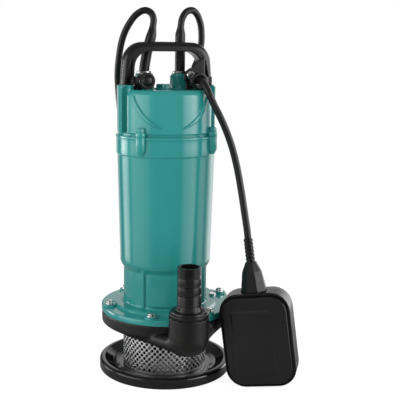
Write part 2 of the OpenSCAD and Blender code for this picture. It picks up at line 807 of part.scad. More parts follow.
module impeller() {
    color(brass) difference() {
        union() {
            translate([0, 0, hub_top_z - shroud_t]) cylinder(d = impeller_d, h = shroud_t);
            translate([0, 0, impeller_z]) cylinder(d = hub_d, h = impeller_h);
            translate([0, 0, impeller_z]) ring(impeller_d, eye_d, shroud_t);
            translate([0, 0, impeller_z + shroud_t / 2]) linear_extrude(impeller_h - shroud_t)
                for (i = [0 : impeller_vanes - 1]) rotate(i * 360 / impeller_vanes) vane();
        }
        translate([0, 0, impeller_z - cut]) cylinder(d = shaft_end_d, h = impeller_h + 2 * cut);
        translate([-key_w / 2, 0, impeller_z + 2]) cube([key_w, shaft_end_d / 2 + key_h / 2, impeller_h]);
    }
}

module impeller_nut() {
    color(steel) translate([0, 0, impeller_z - impeller_nut_h]) difference() {
        hexagon(hub_d - 4, impeller_nut_h);
        translate([0, 0, -cut]) cylinder(d = shaft_end_d, h = impeller_nut_h + 2 * cut);
    }
}

module seal_face() {
    color(carbon) translate([0, 0, seal_face_z]) ring(seal_face_d, shaft_d + 2 * thread_gap, seal_face_h);
}

module seal_spring() {
    rings_per_turn = 8;
    n = spring_turns * rings_per_turn;
    r = spring_d / 2;
    h = spring_h - spring_wire_d;
    points = [for (i = [0 : n]) let (a = 360 * i / rings_per_turn)
        [r * cos(a), r * sin(a), spring_z + spring_wire_d / 2 + h * i / n]];
    color(steel) tube(points, spring_wire_d / 2 - 0.05, 6);
}

module upper_bracket() {
    color(cast_metal) translate([0, 0, band_z]) difference() {
        union() {
            cylinder(d = recess_wall_d - 2 * seat_gap, h = bracket_t);
            cylinder(d = bracket_boss_d, h = bracket_boss_h);
        }
        translate([0, 0, -cut]) cylinder(d = upper_bearing[1], h = upper_bearing[2] + cut);
        cylinder(d = upper_bearing[0] + 8, h = bracket_boss_h - 4);
        for (a = [30 : 120 : 270]) at_polar(a, bracket_boss_d / 2 + 13, -cut)
            cylinder(d = 12, h = bracket_t + 2 * cut);
    }
}

// ---------- top cover ----------

// Centre of the circle of radius r that passes through two points, bulging down and to the left
function arc_centre(p, q, r) = let (d = q - p, h = sqrt(r * r - d * d / 4))
    (p + q) / 2 + h * unit([-d[1], d[0]]);

// Raised crescent that sweeps from an upper corner of the panel to its lower middle
module crescent() {
    top = [-crescent_top_x, cover_top_z - crescent_drop];
    tip = [-crescent_tip_x, parting_z + crescent_rise];
    rotate([90, 0, 0]) linear_extrude(cover_d) difference() {
        translate(arc_centre(top, tip, crescent_outer_r)) circle(r = crescent_outer_r, $fn = 96);
        translate(arc_centre(top, tip, crescent_inner_r)) circle(r = crescent_inner_r, $fn = 96);
    }
}

module cover_decor(angle) {
    intersection() {
        translate([0, 0, parting_z]) ring(cover_d + 2 * crescent_relief, cover_d - 4, cover_h);
        rotate([0, 0, angle + 90]) {
            crescent();
            mirror([1, 0, 0]) crescent();
        }
    }
}

// Upright channel between the front or back panel and the side wall
module cover_channel(a0, a1) {
    translate([0, 0, parting_z + cover_seam_h + 1]) intersection() {
        ring(cover_d + 10, cover_d - 2 * channel_depth, cover_h + shoulder_h);
        linear_extrude(cover_h + shoulder_h) wedge(a0, a1, cover_d);
    }
}

module cover_lug() {
    cylinder(d = lug_d, h = cover_lug_h);
    translate([-12, -lug_d / 2 + 0.5, 0]) cube([12, lug_d - 1, cover_lug_h]);
}

module top_cover() {
    r = cover_d / 2;
    foot_w = leg_w + 3;
    round_r = 3;
    color(teal) difference() {
        union() {
            rotate_extrude() polygon(concat(
                [[0, parting_z], [r - 1.5, parting_z], [r - 1.5, parting_z + cover_seam_h],
                    [r, parting_z + cover_seam_h + 1]],
                arc(r - round_r, cover_top_z - round_r, round_r, 0, 90, 6), [[0, cover_top_z]]));
            translate([0, 0, cover_top_z - 6]) intersection() {
                ring(cover_d, cover_d - 2 * shoulder_w, shoulder_h + 6);
                linear_extrude(shoulder_h + 6) {
                    wedge(front_angle + panel_half_angle, front_angle + 180 - panel_half_angle, cover_d);
                    rotate(180) wedge(front_angle + panel_half_angle, front_angle + 180 - panel_half_angle,
                        cover_d);
                }
            }
            translate([0, 0, parting_z - spigot_h])
                ring(recess_wall_d - 2 * seat_gap, recess_wall_d - 2 * spigot_t, spigot_h + cut);
            for (x = [-1, 1]) translate([x * gland_x, gland_y, cover_top_z - cut])
                cylinder(d = gland_boss_d, h = gland_boss_h + cut);
            for (a = [45 : 90 : 315]) at_polar(a, lug_r, parting_z) cover_lug();
            cover_decor(front_angle);
        }
        translate([0, 0, parting_z - spigot_h - cut])
            cylinder(d = recess_wall_d - 2 * spigot_t, h = cover_h - cover_top_t + spigot_h + cut);
        translate([0, 0, parting_z - 7]) ring(recess_wall_d + 2, recess_wall_d - 4.2, 2.4);
        for (a = [front_angle, front_angle + 180]) {
            cover_channel(a + panel_half_angle, a + panel_half_angle + channel_angle);
            cover_channel(a - panel_half_angle - channel_angle, a - panel_half_angle);
        }
        for (s = [0, 180]) rotate([0, 0, s])
            translate([handle_w / 2 - foot_w, -handle_depth / 2 - 0.4, cover_top_z])
                cube([foot_w + 5, handle_depth + 0.8, shoulder_h + 1]);
        for (x = [-1, 1]) {
            translate([x * gland_x, gland_y, 0]) {
                translate([0, 0, cover_top_z - cover_top_t - cut])
                    cylinder(d = cable_d + 0.6, h = cover_top_t + 2 * cut);
                translate([0, 0, cover_top_z + sleeve_ledge]) cylinder(d = sleeve_d + 0.4, h = gland_boss_h);
            }
            translate([x * foot_screw_x, foot_screw_y, cover_top_z - 5])
                cylinder(d = 4 + 2 * thread_gap, h = 6);
        }
        translate([filler_x, 0, cover_top_z - cover_top_t - cut]) cylinder(d = 10, h = cover_top_t + 2 * cut);
        for (a = [45 : 90 : 315]) {
            at_polar(a, lug_r, parting_z - cut)
                cylinder(d = cover_bolt_d + 2 * seat_gap, h = cover_lug_h + 2 * cut);
            at_polar(a, lug_r, parting_z + cover_lug_h)
                cylinder(d = cover_head_d + 1.4, h = cover_head_h + 1.5);
        }
    }
}

module cover_oring() {
    color(rubber_black) translate([0, 0, parting_z - 5.8]) rotate_extrude()
        translate([recess_wall_d / 2 - 1.05, 0]) circle(d = 2, $fn = 24);
}

module cover_bolts() {
    color(teal) for (a = [45 : 90 : 315]) at_polar(a, lug_r, 0) {
        translate([0, 0, parting_z + cover_lug_h]) hexagon(cover_head_d, cover_head_h);
        translate([0, 0, parting_z - 12]) cylinder(d = cover_bolt_d, h = cover_lug_h + 13);
    }
}

module capacitor() {
    z = parting_z + capacitor_lift + capacitor_d / 2;
    color([0.85, 0.85, 0.83]) translate([-capacitor_l / 2, capacitor_y, z]) rotate([0, 90, 0]) {
        cylinder(d = capacitor_d, h = capacitor_l);
        for (y = [-6, 6]) translate([0, y, -5]) cylinder(d = 3, h = 6);
    }
}

// Strap around the capacitor, on a saddle that stands on the bearing bracket's boss
module capacitor_clip() {
    z = parting_z + capacitor_lift + capacitor_d / 2;
    boss_top_z = band_z + bracket_boss_h;
    saddle_w = capacitor_d * 0.6;
    color(soft_black) difference() {
        union() {
            translate([-6, capacitor_y, z]) rotate([0, 90, 0]) cylinder(d = capacitor_d + 2.4, h = 12);
            translate([-9, capacitor_y - saddle_w / 2, boss_top_z]) cube([18, saddle_w, z - boss_top_z - 8]);
        }
        translate([-20, capacitor_y, z]) rotate([0, 90, 0]) cylinder(d = capacitor_d, h = 40);
    }
}

module filler_plug() {
    color(teal) translate([filler_x, 0, cover_top_z]) difference() {
        union() {
            cylinder(d = filler_d + 3, h = 1.5);
            hexagon(filler_d, filler_h);
            translate([0, 0, 2 - cover_top_t]) cylinder(d = 10 - 2 * thread_gap, h = cover_top_t);
        }
        translate([-10, -1, filler_h - 2.5]) cube([20, 2, 3]);
    }
}

module gland_nuts() {
    color(teal) for (x = [-1, 1]) translate([x * gland_x, gland_y, cover_top_z + gland_boss_h]) difference() {
        union() {
            hexagon(gland_nut_d, gland_nut_h - 2);
            cylinder(d = gland_nut_d - 3.4, h = gland_nut_h);
        }
        translate([0, 0, -cut]) cylinder(d = sleeve_d + 0.4, h = gland_nut_h + 2 * cut);
    }
}

module gland_washers() {
    color(steel) for (x = [-1, 1])
        translate([x * gland_x, gland_y, gland_top_z - gland_washer_t])
            ring(gland_washer_d, sleeve_d + 0.4, gland_washer_t);
}

// ---------- handle ----------

module handle_profile() {
    w = handle_w / 2;
    top = handle_h;
    in_w = w - leg_w;
    right = concat([[w, 0], [w, 12]],
        arc(w - 1 - corner_r, top - 1.5 - corner_r, corner_r, 0, 90, 10), [[w * 0.32, top - 0.3]]);
    inner = concat([[in_w, 0], [in_w + 0.4, 20]],
        arc(in_w + 0.8 - inner_corner_r, top - grip_t - inner_corner_r, inner_corner_r, 0, 90, 8));
    left = [for (i = [len(right) - 1 : -1 : 0]) [-right[i][0], right[i][1]]];
    inner_left = [for (i = [0 : len(inner) - 1]) [-inner[i][0], inner[i][1]]];
    inner_right = [for (i = [len(inner) - 1 : -1 : 0]) inner[i]];
    polygon(concat(right, [[0, top]], left, inner_left, inner_right));
}

// Arm beside the right-hand leg, with the round boss that the clamp screw sits in
module clamp_arm() {
    x = handle_w / 2 - leg_w + 1;
    translate([0, clamp_front_y + clamp_t, 0]) rotate([90, 0, 0]) linear_extrude(clamp_t) difference() {
        union() {
            translate([clamp_screw_x + 1.5, clamp_screw_z - 1]) circle(r = clamp_boss_r);
            polygon([[x, clamp_screw_z + 21], [x - 5, clamp_screw_z + 19.5], [x - 10, clamp_screw_z + 16.5],
                [x - 15.5, clamp_screw_z + 10], [x - 19, clamp_screw_z + 8], [x - 12, clamp_screw_z],
                [x, clamp_screw_z + 2]]);
            translate([clamp_screw_x - 6, cover_top_z]) square([7, 8]);
        }
        translate([ring_x + 3, ring_z + 0.5]) circle(d = cable_d + 2);
    }
}

module clamp_screw() {
    washer_t = 1;
    head_h = 3.8;
    color(steel) translate([clamp_screw_x, clamp_front_y, clamp_screw_z]) rotate([90, 0, 0]) {
        cylinder(d = 9.4, h = washer_t);
        translate([0, 0, washer_t]) rotate([0, 0, 15]) hexagon(9.2, head_h);
        translate([0, 0, 1 - clamp_t]) cylinder(d = clamp_screw_d, h = clamp_t);
    }
}

module handle() {
    pocket = 6;
    color(soft_black) difference() {
        union() {
            translate([0, handle_depth / 2, cover_top_z]) rotate([90, 0, 0]) linear_extrude(handle_depth)
                handle_profile();
            translate([-ring_x, ring_back_y, ring_z]) rotate([90, 0, 0]) cylinder(d = ring_d, h = ring_l);
            translate([-ring_x - 15, ring_back_y - 8, ring_z - ring_web_h / 2])
                cube([12, -ring_back_y - handle_depth / 2 + 8 + cut, ring_web_h]);
            translate([ring_x, ring_front_y + clamp_ring_l, ring_z]) rotate([90, 0, 0])
                cylinder(d = ring_d, h = clamp_ring_l);
            translate([ring_x + 7, ring_front_y + 1, ring_z - ring_web_h / 2])
                cube([8, -ring_front_y - 1 - handle_depth / 2 + cut, ring_web_h]);
            clamp_arm();
            for (s = [-1, 1]) translate([s * (foot_screw_x + 2.5) - 7, -handle_depth / 2, cover_top_z])
                cube([14, 12.5, foot_tab_t]);
        }
        translate([ring_x, ring_front_y + clamp_ring_l + cut, ring_z]) rotate([90, 0, 0])
            cylinder(d = ring_bore_d, h = 50);
        translate([-ring_x, 0, ring_z]) rotate([90, 0, 0]) cylinder(d = ring_bore_d, h = 50);
        translate([clamp_screw_x, clamp_front_y + clamp_t + cut, clamp_screw_z]) rotate([90, 0, 0])
            cylinder(d = clamp_screw_d, h = clamp_t + 2 * cut);
        for (s = [-1, 1]) {
            translate([s * foot_screw_x, foot_screw_y, cover_top_z - cut])
                cylinder(d = 4 + 2 * seat_gap, h = foot_tab_t + 2 * cut);
            for (y = [-handle_depth / 2 - cut, handle_depth / 2 - pocket])
                translate([s * (handle_w / 2 - leg_w / 2) - leg_w / 2 + 3, y, cover_top_z + 3])
                    cube([leg_w - 6, pocket + cut, 27]);
        }
    }
}

module handle_screws() {
    color(steel) for (s = [-1, 1]) translate([s * foot_screw_x, foot_screw_y, cover_top_z]) difference() {
        union() {
            translate([0, 0, foot_tab_t]) cylinder(d = 7.5, h = 2.4);
            translate([0, 0, -4.5]) cylinder(d = 4, h = foot_tab_t + 5);
        }
        translate([-3, -0.5, foot_tab_t + 1.4]) cube([6, 1, 2]);
        translate([-0.5, -3, foot_tab_t + 1.4]) cube([1, 6, 2]);
    }
}

module ring_plug() {
    dome_r = ring_bore_d / 2;
    color(rubber_black) translate([-ring_x, ring_front_y, ring_z]) rotate([90, 0, 0]) rotate_extrude()
        polygon(concat([[0, 6 - ring_l], [dome_r, 6 - ring_l], [dome_r, 0]],
            [for (p = arc(0, 0, 1, 10, 90, 8)) [p[0] * dome_r * 0.96, p[1] * 3]]));
}

// ---------- cables ----------

// Left sleeve and mains cable, from the gland over the loop, down behind the pump and along the floor
left_sleeve_route = [[-22, 17, 338], [-22, 17, 358], [-20, 17, 372], [-17, 17.5, 386], [-13, 18, 399],
    [-11, 19, 409]];
power_route = [[-11, 19, 409], [-10, 20, 418], [-13, 22, 425], [-20, 25, 427.5], [-28, 29, 423],
    [-35, 32, 414], [-41, 35, 402], [-45, 37, 388], [-47, 40, 371], [-47, 46, 352], [-44, 54, 330],
    [-40, 61, 305], [-36, 67, 270], [-31, 73, 235], [-27, 79, 200], [-24, 85, 165], [-22, 91, 130],
    [-21, 98, 95], [-21, 105, 65], [-20, 111, 42], [-16, 117, 24], [-7, 120, 10], [6, 118, 4.2],
    [20, 113, 4.05], [29.2, 108.3, 4]];
// Right sleeve and float lead, from the gland over the loop and through the right-hand ring
right_sleeve_route = [[22, 17, 338], [22, 17, 365], [22, 17, 385], [22, 17, 398], [22.5, 17, 409]];
lead_route = [[22.5, 17, 409], [24, 17, 418], [29, 17.5, 426], [37, 19, 428.5], [44, 21, 424], [49, 23, 414],
    [51, 24, 402], [51, 24.5, 390], [49, 24.5, 379], [45, 21, 369.5], [39.5, 14, 362.5], [36.8, 6, 356.5],
    [35.6, -3, 350.8], [34.2, -11, 347.9], [32, -18, 347.3], [31, -23, 347.3], [31, -30, 347.3]];
tether_route = [[31, -30.4, 347.3], [31, -36, 347.3], [30.5, -42.5, 346], [31, -49, 342], [33, -54, 335],
    [38.5, -56.5, 322], [44.5, -60, 309], [51, -62.5, 294], [57.5, -65.5, 275], [63, -68.5, 252],
    [66.8, -71.7, 229], [69.8, -75, 206], [72.5, -78.5, 183.7], [73.9, -79.4, 171.8]];
// Tail of the coil, in the coil's own frame, up to the plug that lies on the coil
coil_x = 58;
coil_y = 175;
coil_angle = -107;
coil_mid_d = 112;
coil_layers = 4;
coil_sides = 6;
coil_rings = 24;
plug_h = 26;

coil_half_w = coil_turns * coil_step / 2;
layer_span = coil_turns + 0.5;
coil_length_turns = coil_layers * layer_span - 0.5;

// Radius and height of the coil after t turns: it runs in or out steadily and climbs in the half turn
function coil_radius(t) = let (layer = floor(t / layer_span),
    u = min((t - layer * layer_span) / coil_turns, 1),
    s = layer % 2 == 0 ? 1 - 2 * u : 2 * u - 1) coil_mid_d / 2 + s * coil_half_w;
function coil_height(t) = let (layer = floor(t / layer_span),
    climb = max(t - layer * layer_span - coil_turns, 0) * 2) cable_d / 2 + (layer + climb) * coil_rise;
function coil_at(t) = let (a = coil_angle + 360 * t)
    [coil_x + coil_radius(t) * cos(a), coil_y + coil_radius(t) * sin(a), coil_height(t)];
coil_steps = coil_length_turns * coil_rings;
coil_turn_points = [for (i = [0 : coil_steps]) coil_at(i / coil_rings)];
coil_in = [cos(coil_angle + 90), sin(coil_angle + 90), 0];
end_angle = coil_angle + 360 * coil_length_turns;
coil_out = [cos(end_angle + 90), sin(end_angle + 90), 0];
coil_points = concat([coil_turn_points[0] - cable_d * coil_in], coil_turn_points,
    [coil_turn_points[coil_steps] + cable_d * coil_out]);

// Least gap between turns that are at least half a turn apart, measured on the ring centres
coil_gap = min([for (i = [0 : coil_steps], j = [i + coil_rings / 2 : coil_steps])
    if ((j - i) % coil_rings < 2 || (j - i) % coil_rings > coil_rings - 2 || j - i < coil_rings * 1.2)
        norm(coil_turn_points[i] - coil_turn_points[j])]) - cable_d;
echo(coil_gap_mm = coil_gap);
echo(mains_cable_mm = length_of(power_route) + length_of(coil_points));
echo(float_cable_mm = length_of(lead_route) + length_of(tether_route));

tail_local = [[coil_mid_d / 2 + coil_half_w, cable_d, 0], [72, 18, 1.5], [68.5, 30, 6], [60, 37, 11],
    [49.5, 38.5, 14.5], [39.5, 34, 16.6], [33.5, 24, 17.2], [32, 12, 17.2]];
tail_base_z = cable_d / 2 + (coil_layers - 1) * coil_rise;
plug_z = tail_base_z + cable_d / 2 + plug_h / 2 + 0.2;

module coil_frame() {
    translate([coil_x, coil_y, 0]) rotate([0, 0, end_angle]) children();
}

// Rubber sleeve: even up to its last fifth, then drawn in to the cable
module sleeve(p) {
    n = len(p);
    tube(p, [for (i = [0 : n - 1]) let (u = max(i / (n - 1) - 0.8, 0) / 0.2)
        sleeve_d / 2 + (cable_d / 2 + 0.3 - sleeve_d / 2) * u], 12);
}

module left_sleeve() {
    color(rubber_black) sleeve(route(left_sleeve_route, 2));
}

module right_sleeve() {
    color(rubber_black) sleeve(route(right_sleeve_route, 2));
}

module power_cable() {
    color(rubber_black) tube(route(power_route, 2), cable_d / 2, 8);
}

module power_coil() {
    color(rubber_black) tube(coil_points, cable_d / 2, coil_sides, [0, 0, 1]);
}

module coil_tail() {
    color(rubber_black) coil_frame() translate([0, 0, tail_base_z])
        tube(route(tail_local, 2), cable_d / 2, 8);
}

// Two-pin earthed plug, lying on the coil
module mains_plug() {
    body_w = 36;
    body_l = 34;
    relief_l = 18;
    color(black) coil_frame() translate([32, 12, plug_z]) rotate([90, 0, 0]) {
        cylinder(d1 = cable_d + 3, d2 = cable_d + 6, h = relief_l);
        translate([0, 0, relief_l]) {
            translate([-(body_w - plug_h) / 2, -plug_h / 2, 0]) cube([body_w - plug_h, plug_h, body_l]);
            for (s = [-1, 1]) translate([s * (body_w - plug_h) / 2, 0, 0]) cylinder(d = plug_h, h = body_l);
            for (s = [-1, 1]) translate([s * 9.5, 0, body_l]) cylinder(d = 4.8, h = 19);
        }
    }
}

module float_lead() {
    color(rubber_black) tube(route(lead_route, 2), cable_d / 2, 8);
}

module float_tether() {
    color(rubber_black) tube(route(tether_route, 2), cable_d / 2, 8);
}

// ---------- float ----------

module float_pose() {
    translate([float_x, float_y, float_z]) rotate([0, 0, float_yaw]) rotate([0, -float_lean, 0]) children();
}

// Rounded half shell, solid: its flat side is the seam plane, its face is rounded off
module half_shell(depth) {
    corner_x = float_w / 2 - float_corner_r;
    hull() for (x = [-corner_x, corner_x], z = [float_corner_r, float_h - float_corner_r])
        translate([x, 0, z]) rotate([90, 0, 0]) rotate_extrude($fn = 32) polygon(concat([[0, 0],
            [float_corner_r, 0]],
            arc(float_corner_r - float_edge_r, depth - float_edge_r, float_edge_r, 0, 90, 4),
            [[0, depth]]));
}

module float_cavity() {
    translate([-cavity_w / 2, -float_t / 2 + float_wall, cavity_z])
        cube([cavity_w, float_t - 2 * float_wall, cavity_h]);
}

module float_front_shell() {
    panel_w = 47;
    panel_h = 78;
    color(black) float_pose() difference() {
        union() {
            translate([0, seam_front_y, 0]) half_shell(float_t / 2 + seam_front_y - 0.8);
            translate([-panel_w / 2, -float_t / 2, 12]) cube([panel_w, 3, panel_h]);
        }
        float_cavity();
    }
}

module float_back_shell() {
    color(soft_black) float_pose() {
        difference() {
            translate([0, seam_back_y, 0]) mirror([0, 1, 0]) half_shell(float_t / 2 - seam_back_y);
            float_cavity();
        }
        for (x = [-8, 8]) translate([x, switch_t / 2, switch_z + 9]) rotate([-90, 0, 0])
            cylinder(d = 6, h = float_t / 2 - float_wall - switch_t / 2 + cut);
        translate([-3, ball_d / 2 + ball_play + tube_wall, tube_z + 4])
            cube([6, float_t / 2 - float_wall - ball_d / 2 - ball_play - tube_wall + cut, tube_h - 8]);
    }
}

module float_seal() {
    inset_r = float_corner_r - seam_inset;
    corner_x = float_w / 2 - float_corner_r;
    color(rubber_black) float_pose() translate([0, seam_back_y, 0]) rotate([90, 0, 0])
        linear_extrude(seam_back_y - seam_front_y) difference() {
            union() {
                for (x = [-corner_x, corner_x], z = [float_corner_r, float_h - float_corner_r])
                    translate([x, z]) circle(r = inset_r);
                translate([-corner_x, seam_inset]) square([2 * corner_x, float_h - 2 * seam_inset]);
                translate([-corner_x - inset_r, float_corner_r])
                    square([2 * (corner_x + inset_r), float_h - 2 * float_corner_r]);
            }
            translate([-cavity_w / 2, cavity_z]) square([cavity_w, cavity_h]);
        }
}

module float_neck() {
    upper_h = 12;
    ribs = 6;
    pitch = relief_h / ribs;
    lower_h = float_neck_h - upper_h;
    r = relief_d / 2;
    color(soft_black) float_pose() translate([0, 0, float_h]) rotate_extrude() polygon(concat(
        [[0, 0], [neck_base_d / 2, 0], [neck_base_d / 2 - 0.6, 3], [10.8, lower_h], [10, lower_h + 0.6],
            [r + 0.4, float_neck_h - 1]],
        [for (i = [0 : ribs - 1], k = [0 : 3]) let (z = float_neck_h + i * pitch)
            k == 0 ? [r - 0.8, z + 0.4] : k == 1 ? [r, z + 1] : k == 2 ? [r, z + pitch - 1]
                : [r - 0.8, z + pitch - 0.4]],
        [[0, float_neck_h + relief_h - 0.4]]));
}

module ball_tube() {
    bore_d = ball_d + 2 * ball_play;
    color([0.85, 0.85, 0.8]) float_pose() translate([0, 0, tube_z]) difference() {
        cylinder(d = bore_d + 2 * tube_wall, h = tube_h);
        translate([0, 0, tube_floor_t]) cylinder(d = bore_d, h = tube_h);
    }
}

module float_weight() {
    color(cast_metal) float_pose() translate([-22, -9, cavity_z]) cube([44, 18, weight_h]);
}

module micro_switch() {
    ear_t = 1.6;
    color(carbon) float_pose() difference() {
        union() {
            translate([-switch_w / 2, -switch_t / 2, switch_z]) cube([switch_w, switch_t, switch_h]);
            for (y = [-switch_t / 2, switch_t / 2 - ear_t]) translate([lever_x - 2.5, y, switch_z - 4.5])
                cube([5, ear_t, 5]);
        }
        translate([lever_x, -switch_t, lever_z]) rotate([-90, 0, 0])
            cylinder(d = lever_pin_d + 2 * thread_gap, h = 2 * switch_t);
    }
}

module switch_lever() {
    color(steel) float_pose() translate([lever_x, 0, lever_z]) {
        translate([0, 0.2 - switch_t / 2, 0]) rotate([-90, 0, 0])
            cylinder(d = lever_pin_d, h = switch_t - 0.4);
        translate([-lever_l, -2.5, -1]) cube([lever_l, 5, 0.8]);
    }
}

module switch_ball() {
    color(steel) float_pose() translate([0, 0, ball_z]) sphere(d = ball_d);
}

base_plate();
base_bolts();
strainer();
pump_casing();
casing_gasket();
seal_plate();
seal_seat();
motor_housing();
flange_bolts();
earth_screw();
lip_seal();
lower_bearing_outer();
stator_core();
end_windings();
upper_bracket();
upper_bearing_outer();
top_cover();
cover_oring();
cover_bolts();
capacitor();
capacitor_clip();
filler_plug();
gland_nuts();
gland_washers();
left_sleeve();
right_sleeve();
handle();
handle_screws();
clamp_screw();
ring_plug();
hose_tail();
hose_collar();
power_cable();
power_coil();
coil_tail();
mains_plug();
float_lead();
shaft();
shaft_key();
rotor_core();
impeller();
impeller_nut();
seal_face();
seal_spring();
lower_bearing_inner();
upper_bearing_inner();
lower_bearing_balls();
upper_bearing_balls();
float_tether();
float_neck();
float_front_shell();
float_back_shell();
float_seal();
ball_tube();
float_weight();
micro_switch();
switch_lever();
switch_ball();
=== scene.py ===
"""Submersible sump pump: shown surfaces, cables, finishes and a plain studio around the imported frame.

Functions work in millimetres, in the frame's own axes, and meshes are stored in metres.
"""

import math

import bmesh
import bpy
import numpy as np
from bpy.props import FloatProperty, FloatVectorProperty, IntProperty, PointerProperty
from mathutils import Matrix


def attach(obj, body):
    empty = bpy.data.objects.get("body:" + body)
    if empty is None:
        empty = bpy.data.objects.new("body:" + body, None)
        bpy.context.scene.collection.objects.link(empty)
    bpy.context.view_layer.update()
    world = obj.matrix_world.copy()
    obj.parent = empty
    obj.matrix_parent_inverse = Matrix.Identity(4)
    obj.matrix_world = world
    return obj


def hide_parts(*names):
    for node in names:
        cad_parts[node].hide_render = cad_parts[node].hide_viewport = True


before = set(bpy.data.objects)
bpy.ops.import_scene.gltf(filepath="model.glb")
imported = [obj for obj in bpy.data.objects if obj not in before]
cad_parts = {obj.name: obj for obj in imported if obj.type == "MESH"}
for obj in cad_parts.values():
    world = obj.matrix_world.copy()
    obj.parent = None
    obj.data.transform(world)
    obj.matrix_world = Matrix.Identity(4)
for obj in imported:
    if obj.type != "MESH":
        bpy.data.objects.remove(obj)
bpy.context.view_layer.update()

bl_info = {
    "name": "Sump Pump Dressing",
    "version": (1, 0, 0),
    "blender": (4, 5, 0),
    "location": "3D View > Sidebar > Sump Pump",
    "description": "Builds the shown surfaces, cables, finishes and stage of a submersible sump pump",
    "category": "Object",
}

MM = 0.001
FULL_TURN = 2 * math.pi

# Heights of the stack, from the floor up
BASE_FLOOR_Z = 5.0
CASING_Z = 50.0
CASING_TOP_Z = 73.5
FLANGE_Z = 74.3
FLANGE_TOP_Z = 80.8
BOSS_TOP_Z = 83.3
OIL_Z = 84.3
BODY_Z = 126.3
BAND_Z = 263.3
PARTING_Z = 285.3
LUG_TOP_Z = 291.3
COVER_TOP_Z = 337.3
SHOULDER_H = 5.0
GLAND_Z = 341.3
ELBOW_TOP_Z = 91.0
COLLAR_TOP_Z = 98.0
TAIL_TOP_Z = 147.5
RING_Z = 347.3

# Radii and places round the pump's axis, angles in degrees from +x
BASE_R = 79.5
STRAINER_R = 50.5
CASING_R = 76.0
ELBOW_Y = -92.0
ELBOW_R = 22.5
LUG_R = 60.0
LUG_END_R = 5.5
LUG_ANGLES = (45, 135, 225, 315)
COVER_R = 57.5
BOLT_R = 3.0
FRONT_ANGLE = -100.0
PANEL_ANGLE = -90.0
RIB_ANGLES = (-137, -43, 45, 135)
GLAND_X, GLAND_Y = 22.0, 17.0
PLUG_X = -4.0
EAR_PLACE = (11, 78)
BOLT_PLACES = [(180, 68.5), (-120, 68.5), (-60, 68.5), (60, 68.5), (120, 68.5), EAR_PLACE]

# Handle: half width and height of the bow and of the gap in it, the legs' lean, and the cable rings
BOW_HALF_W, BOW_H, BOW_HALF_D = 55.7, 54.1, 9.5
GAP_HALF_W, GAP_H = 42.2, 43.0
LEG_LEAN = 0.09
RING_X, RING_R, RING_BORE_R, RING_BACK_Y = 31.0, 9.3, 6.0, -12.0

# Routes of the cables, through listed points
LEFT_SLEEVE = [[-22, 17, 338], [-22, 17, 358], [-20, 17, 372], [-17, 17.5, 386], [-13, 18, 399], [-11, 19, 409]]
POWER_ROUTE = [
    [-11, 19, 409], [-10, 20, 418], [-13, 22, 425], [-20, 25, 427.5], [-28, 29, 423], [-35, 32, 414],
    [-41, 35, 402], [-45, 37, 388], [-47, 40, 371], [-47, 46, 352], [-44, 54, 330], [-40, 61, 305],
    [-36, 67, 270], [-31, 73, 235], [-27, 79, 200], [-24, 85, 165], [-22, 91, 130], [-21, 98, 95],
    [-21, 105, 65], [-20, 111, 42], [-16, 117, 24], [-7, 120, 10], [6, 118, 4.2], [20, 113, 4.05],
    [29.2, 108.3, 4]]
RIGHT_SLEEVE = [[22, 17, 338], [22, 17, 365], [22, 17, 385], [22, 17, 398], [22.5, 17, 409]]
LEAD_ROUTE = [
    [22.5, 17, 409], [24, 17, 418], [29, 17.5, 426], [37, 19, 428.5], [44, 21, 424], [49, 23, 414],
    [51, 24, 402], [51, 24.5, 390], [49, 24.5, 379], [45, 21, 369.5], [39.5, 14, 362.5], [36.8, 6, 356.5],
    [35.6, -3, 350.8], [34.2, -11, 347.9], [32, -18, 347.3], [31, -23, 347.3], [31, -30, 347.3]]
TETHER_ROUTE = [
    [31, -30.4, 347.3], [31, -36, 347.3], [30.5, -42.5, 346], [31, -49, 342], [33, -54, 335],
    [38.5, -56.5, 322], [44.5, -60, 309], [51, -62.5, 294], [57.5, -65.5, 275], [63, -68.5, 252],
    [66.8, -71.7, 229], [69.8, -75, 206], [72.5, -78.5, 183.7], [73.9, -79.4, 171.8]]

# Stored coil: centre, angle of its start, middle radius, steps between turns and layers, and the top layer's height
CABLE_R = 4.0
COIL_X, COIL_Y, COIL_ANGLE = 58.0, 175.0, -107.0
COIL_MID_R, COIL_STEP, COIL_RISE, COIL_TURNS, COIL_LAYERS = 56.0, 9.6, 9.0, 3.375, 4
COIL_TOP_Z = CABLE_R + (COIL_LAYERS - 1) * COIL_RISE
TAIL_LOCAL = [
    [72.2, 8, 0], [72, 18, 1.5], [68.5, 30, 6], [60, 37, 11], [49.5, 38.5, 14.5], [39.5, 34, 16.6],
    [33.5, 24, 17.2], [32, 12, 17.2]]
PLUG_H = 26.0

# Float: place, turn and lean of its own frame, and its outline's half sizes and corners
FLOAT_AT = (94.0, -92.0, 2.789)
FLOAT_YAW, FLOAT_LEAN = -32.0, 8.0
FLOAT_HALF_W, FLOAT_HALF_H, FLOAT_CORNER_R = 40.5, 55.0, 22.0


# ---------- settings ----------

class PumpFinishSettings(bpy.types.PropertyGroup):
    """Colours of the pump's finishes"""

    enamel: FloatVectorProperty(
        name="Enamel", description="Colour of the sprayed enamel on housing and cover",
        subtype="COLOR", size=3, min=0, max=1, default=(0.023, 0.24, 0.228))
    casing: FloatVectorProperty(
        name="Casing paint", description="Colour of the dull paint on the cast pump casing",
        subtype="COLOR", size=3, min=0, max=1, default=(0.0048, 0.0044, 0.004))
    moulding: FloatVectorProperty(
        name="Moulded plastic", description="Colour of the handle, hose tail and float",
        subtype="COLOR", size=3, min=0, max=1, default=(0.0042, 0.0044, 0.0041))
    rubber: FloatVectorProperty(
        name="Rubber", description="Colour of the cables, sleeves and seals",
        subtype="COLOR", size=3, min=0, max=1, default=(0.0045, 0.0047, 0.0045))


